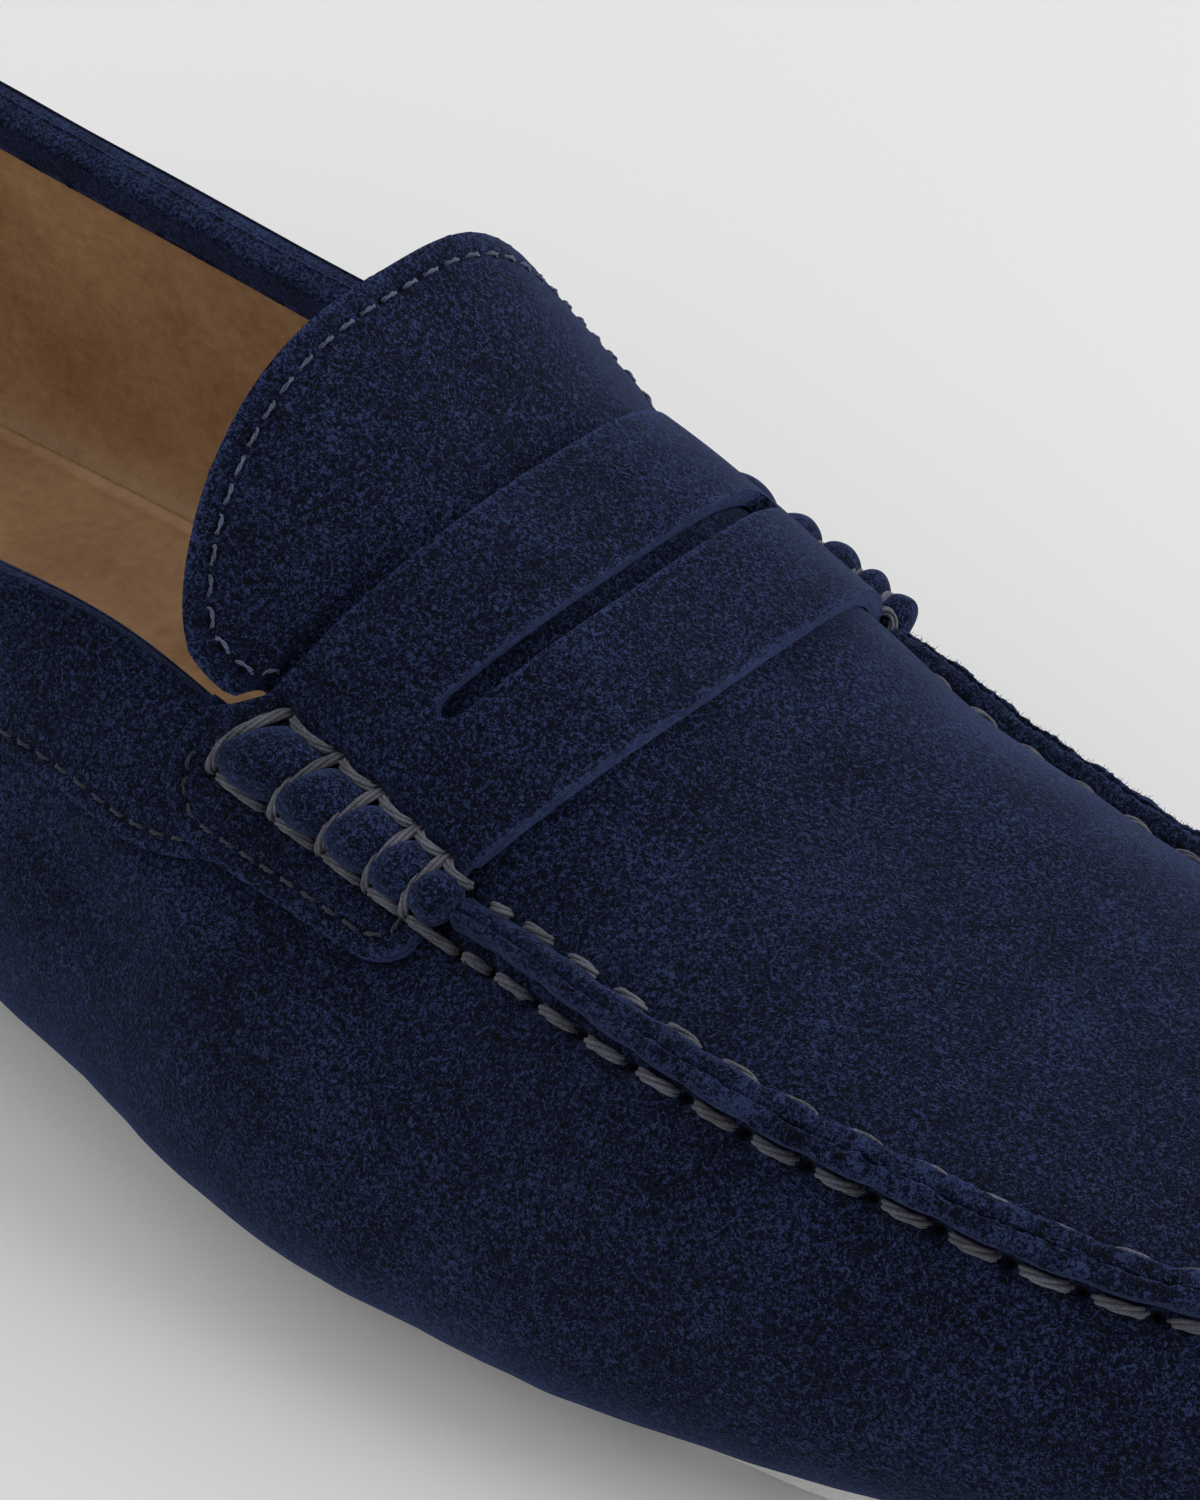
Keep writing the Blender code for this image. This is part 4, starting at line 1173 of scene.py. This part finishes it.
def makeTongue():
    across = np.linspace(-tongue["spread"], tongue["spread"], 221)
    parts = np.concatenate([np.linspace(-1, 0, 16)[:-1], np.linspace(0, 1, 96)])
    part, a = np.meshgrid(parts, across, indexing="ij")
    points = tongueFace(a, part)
    outline, route, count, (places, over, low, high) = tongueStitchRoute()
    flatOver, flatLow, flatHigh = (np.interp(a, places, values) for values in (over, low, high))
    spots = np.stack([flatOver, flatLow + (flatHigh - flatLow) * part], axis=-1)
    groove, holeShade = stitchMarks(spots, route, count, 0.00042)
    edge = np.exp(-(gapTo(spots, evenly(outline, 0.0004)) / 0.0007) ** 2)
    points = points - tongueNormal * ((0.00022 * groove + 0.0004 * holeShade) * (part > 0))[..., None]
    worn = edge * (0.9 + 0.5 * lumpy(points, 0.0016, 17))
    # Painted shade: the colour darkens in the stitch groove and the stitch holes.
    marks = {"pitShade": np.maximum(0.25 * groove, 0.9 * holeShade) * (part > 0), "worn": worn}
    return leather("tongueLeather", points, tongue["thickness"], marks, 0.0006, 0.00006,
                   outward=lambda p: np.array([0.3, 0.0, 1.0]))


def tongueStitchLine():
    _, route, count, (places, over, low, high) = tongueStitchRoute()
    across = np.interp(route[:, 0], over, places)
    root, edge = np.interp(across, places, low), np.interp(across, places, high)
    part = np.clip((route[:, 1] - root) / (edge - root), 0, 1)
    return tongueFace(across, part), np.broadcast_to(tongueNormal, (len(across), 3)), count


collar = {
    "depth": 0.0168, "thickness": 0.0014, "stitch": 0.0018, "pitch": 0.0027, "turnIn": 0.0050,
    "end": 0.158, "riseStart": 0.1415, "riseLength": 0.0145, "rise": 0.0046,
}


def collarDepth(along):  # the lower edge rises to run in under the tab
    near = np.maximum(along - collar["riseStart"], 0) / collar["riseLength"]
    return collar["depth"] - collar["rise"] * near ** 2.2


def collarPoint(side, along, depth, sunk):
    pull = tabPull(np.minimum(depth, strap["tabDrop"] - 1e-5), strap["rearCorner"])
    tabEdge = strap["rear"] - strap["tabFlare"] + pull
    under = softStep(along, tabEdge + 0.0005, tabEdge + 0.0035)
    height = (strap["clear"] + collar["thickness"]) * (1 - 0.75 * under) - sunk
    return lifted(side, along, np.minimum(levelAt(side, along, -depth), 0.998), height)


def makeCollar():
    # Over the outside of the topline, round its edge and a little way down inside.
    side, along, _ = trip(collar["end"], 0.00085, 0.9, heel=True)
    deepest = collarDepth(along)
    depth = deepest * np.linspace(1, 0.02, 56)[:, None]
    sides, alongs = np.broadcast_to(side, depth.shape), np.broadcast_to(along, depth.shape)
    skin = collarPoint(sides, alongs, depth, 0.0)
    path, _, count = collarStitchLine()
    groove, holeShade = stitchMarks(skin, path, count, 0.0004)
    skin = skin + lastNormal(sides, alongs, 0.9) * (
        0.00012 * lumpy(skin, 0.012, 16) - 0.00018 * groove - 0.0003 * holeShade)[..., None]
    rows = list(skin)
    wears = list(0.8 * np.exp(-((deepest - depth) / 0.0006) ** 2))
    rim = lastPoint(side, along, 1.0)
    normal = lastNormal(side, along, 0.97)
    upward = unit(lastPoint(side, along, 0.995) - lastPoint(side, along, 0.96))
    outer = strap["clear"] + collar["thickness"]
    inner = -last["wall"] - 0.0010
    middle, reach = (outer + inner) / 2, (outer - inner) / 2
    for turn in np.linspace(0, math.pi, 14)[1:]:
        up = reach * 0.36 * math.sin(turn) - 0.0009
        rows.append(rim + normal * (middle + reach * math.cos(turn)) + upward * up)
        wears.append(np.full(len(side), 0.35 * math.sin(turn)))
    for down in np.linspace(0.0009, collar["turnIn"], 5)[1:]:
        rows.append(rim + normal * inner - upward * down)
        wears.append(np.zeros(len(side)))
    grid = np.array(rows)
    pitShade = np.zeros(grid.shape[:2])
    # Painted shade: the colour darkens in the stitch groove and the stitch holes.
    pitShade[:len(skin)] = np.maximum(0.25 * groove, 0.85 * holeShade)
    marks = {"pitShade": pitShade, "worn": np.array(wears)}
    return leather("collarBand", grid, collar["thickness"] * 0.8, marks, 0.0004, 0.00007)


def collarStitchLine():
    side, along, _ = trip(collar["end"], 0.0005, 0.9, heel=True)
    depth = collarDepth(along) - collar["stitch"]
    path = collarPoint(side, along, depth, 0.0001)
    return path, normalOn(side, along, -depth), round(arcOf(path)[-1] / collar["pitch"])


def makeInside():
    # The tan lining: the walls up to the topline, and the underside of the apron.
    side, along = fullRing(0.0030, 0.9)
    inside = np.full(len(side), -last["wall"] - 0.0002)
    grid = np.array([lifted(side, along, level, inside) for level in np.linspace(-0.9, 0.985, 26)])
    walls = addPiece("liningWalls", grid.reshape(-1, 3), gridFaces(*grid.shape[:2], closed=True), ["lining"])
    turnOutward(walls.data, lambda p: -fromAxis(p))
    alongs = np.linspace(throat + 0.0005, last["length"] * 0.9985, 60)
    across = np.linspace(-0.985, 0.985, 40)
    x, a = np.meshgrid(alongs, across, indexing="ij")
    below = np.full(x.shape, -last["wall"] * 0.9)
    under = lifted(np.where(a < 0, outerSide, innerSide), x, 2 - np.abs(a), below)
    roof = addPiece("liningApron", under.reshape(-1, 3), gridFaces(*under.shape[:2]), ["lining"],
                    merge=mergeGap)
    turnOutward(roof.data, lambda p: np.array([0.0, 0.0, -1.0]))
    return walls, roof


sole = {
    "inset": 0.0088, "toeInset": 0.0046, "lip": 0.0005, "ball": 0.73, "ringLevel": 0.1,
    "studWidth": 0.0100, "studPitch": 0.0145, "studSides": 24, "studRows": ((0.055, 0.27), (0.60, 0.94)),
    "insoleInset": 0.0075, "insoleThickness": 0.0030, "ribs": 3, "rib": 0.00018,
}


def soleInset(along):
    toe = last["toeCentre"] * last["length"]
    ball = sole["ball"] * last["length"]
    return sole["inset"] + (sole["toeInset"] - sole["inset"]) * np.clip((along - ball) / (toe - ball), 0, 1)


def solePlace(side, along, inset, out, height):
    ray = rayOf(side, along)
    reach = (ray["radius"] - inset) * out
    x = ray["x"] + ray["wayX"] * reach
    return stack(x, ray["y"] + ray["wayY"] * reach, height(x))


def studPlaces():
    places = []
    length = last["length"]
    alongs = np.linspace(0, length, 200)
    for start, end in sole["studRows"]:
        count = max(round((end - start) * length / sole["studPitch"]), 1)
        for x in np.linspace(start * length, end * length, count + 1):
            edges = []
            for side in (outerSide, innerSide):
                ring = solePlace(np.full(200, side), alongs, soleInset(alongs), 1.0, soleTop)
                order = np.argsort(ring[:, 0])
                edges.append(float(np.interp(x, ring[order, 0], ring[order, 1])))
            room = edges[1] - edges[0] - sole["studWidth"] * 1.5
            across = max(int(room / sole["studPitch"]), 1)
            middle = (edges[0] + edges[1]) / 2
            places += [(x, middle + room / across * (i - across / 2)) for i in range(across + 1)]
    return places


def makeSole():
    side, along = fullRing(0.0016, sole["ringLevel"])
    inset = soleInset(along)
    levels = [(0.0, sole["lip"]), (0.10, sole["lip"] * 1.25), (0.22, sole["lip"] * 1.25), (0.34, sole["lip"])]
    for k in range(sole["ribs"]):  # moulded ribs round the side wall
        low = 0.40 + 0.18 * k
        levels += [(low, 0.0), (low + 0.05, sole["rib"]), (low + 0.10, sole["rib"]), (low + 0.14, 0.0)]
    levels += [(0.96, -sole["lip"]), (1.0, -2 * sole["lip"])]
    rows = [solePlace(side, along, inset, out, soleTop) for out in (0.02, 0.3, 0.6, 0.9, 0.985)]
    for down, step in levels:
        def height(x, down=down):
            return soleTop(x) - 0.0003 + (soleBottom(x) - soleTop(x) + 0.0003) * down
        rows.append(solePlace(side, along, inset - step, 1.0, height))
    rows += [solePlace(side, along, inset, out, soleBottom) for out in (0.97, 0.9, 0.75, 0.55, 0.3, 0.02)]
    grid = np.array(rows)
    plate = addPiece("soleRubber", grid.reshape(-1, 3), gridFaces(*grid.shape[:2], closed=True), ["rubber"])
    turnOutward(plate.data, lambda p: p - np.array([p[0], p[1], 0.03]))
    profile = [(1.06, 0.0012), (1.0, 0.0002), (0.985, -0.0008), (0.95, -0.0016), (0.86, -0.0022),
               (0.70, -0.0025), (0.45, -0.0025), (0.38, -0.0021), (0.12, -0.0020)]
    sides = sole["studSides"]
    spin = np.linspace(0, math.tau, sides + 1)[:-1]
    parts = []
    for x, y in studPlaces():
        rings = []
        for wide, drop in profile:
            reach = sole["studWidth"] / 2 * wide
            ringX, ringY = x + reach * np.cos(spin), y + reach * np.sin(spin)
            rings.append(stack(ringX, ringY, float(soleBottom(x)) + drop))
        faces = gridFaces(len(rings), sides, True).tolist()
        faces.append(list(range((len(rings) - 1) * sides, len(rings) * sides)))
        parts.append((np.concatenate(rings), faces))
    points, faces = gather(parts)
    studs = addPiece("soleStuds", points, faces, ["rubber"])
    settle(studs.data)
    return plate, studs


def makeInsole():
    side, along = fullRing(0.0020, sole["ringLevel"])
    inset = sole["insoleInset"]
    floor = last["wall"] + 0.0003

    def top(x):
        return soleTop(x) + floor + sole["insoleThickness"]

    rows = []
    for out in (0.02, 0.2, 0.4, 0.6, 0.75, 0.86, 0.93, 0.955, 0.97, 0.985, 1.0):
        spot = solePlace(side, along, inset, out, top)
        groove = 0.0004 * math.exp(-((out - 0.955) / 0.012) ** 2)
        spot[:, 2] += 0.0012 * (out ** 6) - 0.0004 - groove + 0.0002 * lumpy(spot, 0.02, 19)
        rows.append(spot)
    for down in (0.0012, 0.0022):
        rows.append(rows[-1] - [0, 0, down])
    grid = np.array(rows)
    piece = addPiece("insoleSock", grid.reshape(-1, 3), gridFaces(*grid.shape[:2], closed=True), ["lining"])
    turnOutward(piece.data, lambda p: np.array([0.0, 0.0, 1.0]))
    return piece


pieces = {}
pieces["upper"] = [makeWall(), makeApron(), *makeInside()]
print("upper made")
pieces["moc_seam"] = [*makeRidge(), makeSeamStitches()]
print("seam made")
pieces["strap"] = [makeStrap()]
for name, side in (("Outer", outerSide), ("Inner", innerSide)):
    line, up, count = tabStitchLine(side)
    pieces["strap"].append(fineStitches("tabStitches" + name, line, up, count, "dimThread"))
    madeRoll = [makeRoll("roll" + name, side), makeRollCords("rollCords" + name, side)]
    pieces["beef_roll_" + name.lower()] = madeRoll
print("strap and rolls made")
line, up, count = tongueStitchLine()
pieces["tongue"] = [makeTongue(), fineStitches("tongueStitches", line, up, count, "fineThread")]
line, up, count = collarStitchLine()
pieces["collar_band"] = [makeCollar(), fineStitches("collarStitches", line, up, count, "dimThread")]
print("tongue and collar made")
pieces["outsole"] = [*makeSole()]
pieces["insole"] = [makeInsole()]
print("sole and insole made")

for node, made in pieces.items():
    for piece in made:
        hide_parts(node)

# Floor, light and camera.
view = {
    "azimuth": math.radians(41), "elevation": math.radians(37), "distance": 0.55, "lens": 138.6,
    "target": (0.0390, -0.0131, 0.0538), "lit": (0.03, 0.0, 0.04),
}


def makeStage():
    mesh = bpy.data.meshes.new("floor")
    reach = 3.0
    corners = [(-reach, -reach, 0), (reach, -reach, 0), (reach, reach, 0), (-reach, reach, 0)]
    mesh.from_pydata(corners, [], [(0, 1, 2, 3)])
    mesh.materials.append(finishes["floor"])
    floor = bpy.data.objects.new("floor", mesh)
    bpy.context.collection.objects.link(floor)


def addLight(name, place, size, power):
    light = bpy.data.lights.new(name, "AREA")
    light.shape = "DISK"
    light.size = size
    light.energy = power
    lamp = bpy.data.objects.new(name, light)
    lamp.location = place
    way = np.array(view["lit"]) - np.array(place)
    tilt = math.atan2(math.hypot(way[0], way[1]), -way[2])
    lamp.rotation_euler = (tilt, 0, math.atan2(way[1], way[0]) - math.pi / 2)
    bpy.context.collection.objects.link(lamp)


def makeCamera():
    a, e = view["azimuth"], view["elevation"]
    camera = bpy.data.objects.new("photoView", bpy.data.cameras.new("photoView"))
    camera.data.lens = view["lens"]
    camera.data.sensor_width = 36
    camera.data.clip_start = 0.01
    camera.data.clip_end = 20
    back = np.array([math.sin(a) * math.cos(e), -math.cos(a) * math.cos(e), math.sin(e)])
    camera.location = np.array(view["target"]) + back * view["distance"]
    camera.rotation_euler = (math.pi / 2 - e, 0, a)
    bpy.context.collection.objects.link(camera)
    bpy.context.scene.camera = camera


makeStage()
addLight("keyLight", (1.25, 1.05, 0.75), 2.4, 35)
addLight("topLight", (0.0, 0.0, 1.5), 2.0, 3.0)
addLight("fillLight", (-0.5, -1.2, 1.0), 1.6, 6.0)
world = bpy.data.worlds.new("studio")
world.use_nodes = True
sky = world.node_tree.nodes["Background"].inputs
sky["Color"].default_value = (0.80, 0.80, 0.80, 1)
sky["Strength"].default_value = 0.59
bpy.context.scene.world = world
bpy.context.scene.view_settings.view_transform = "Standard"
makeCamera()
print("stage, light and camera made")
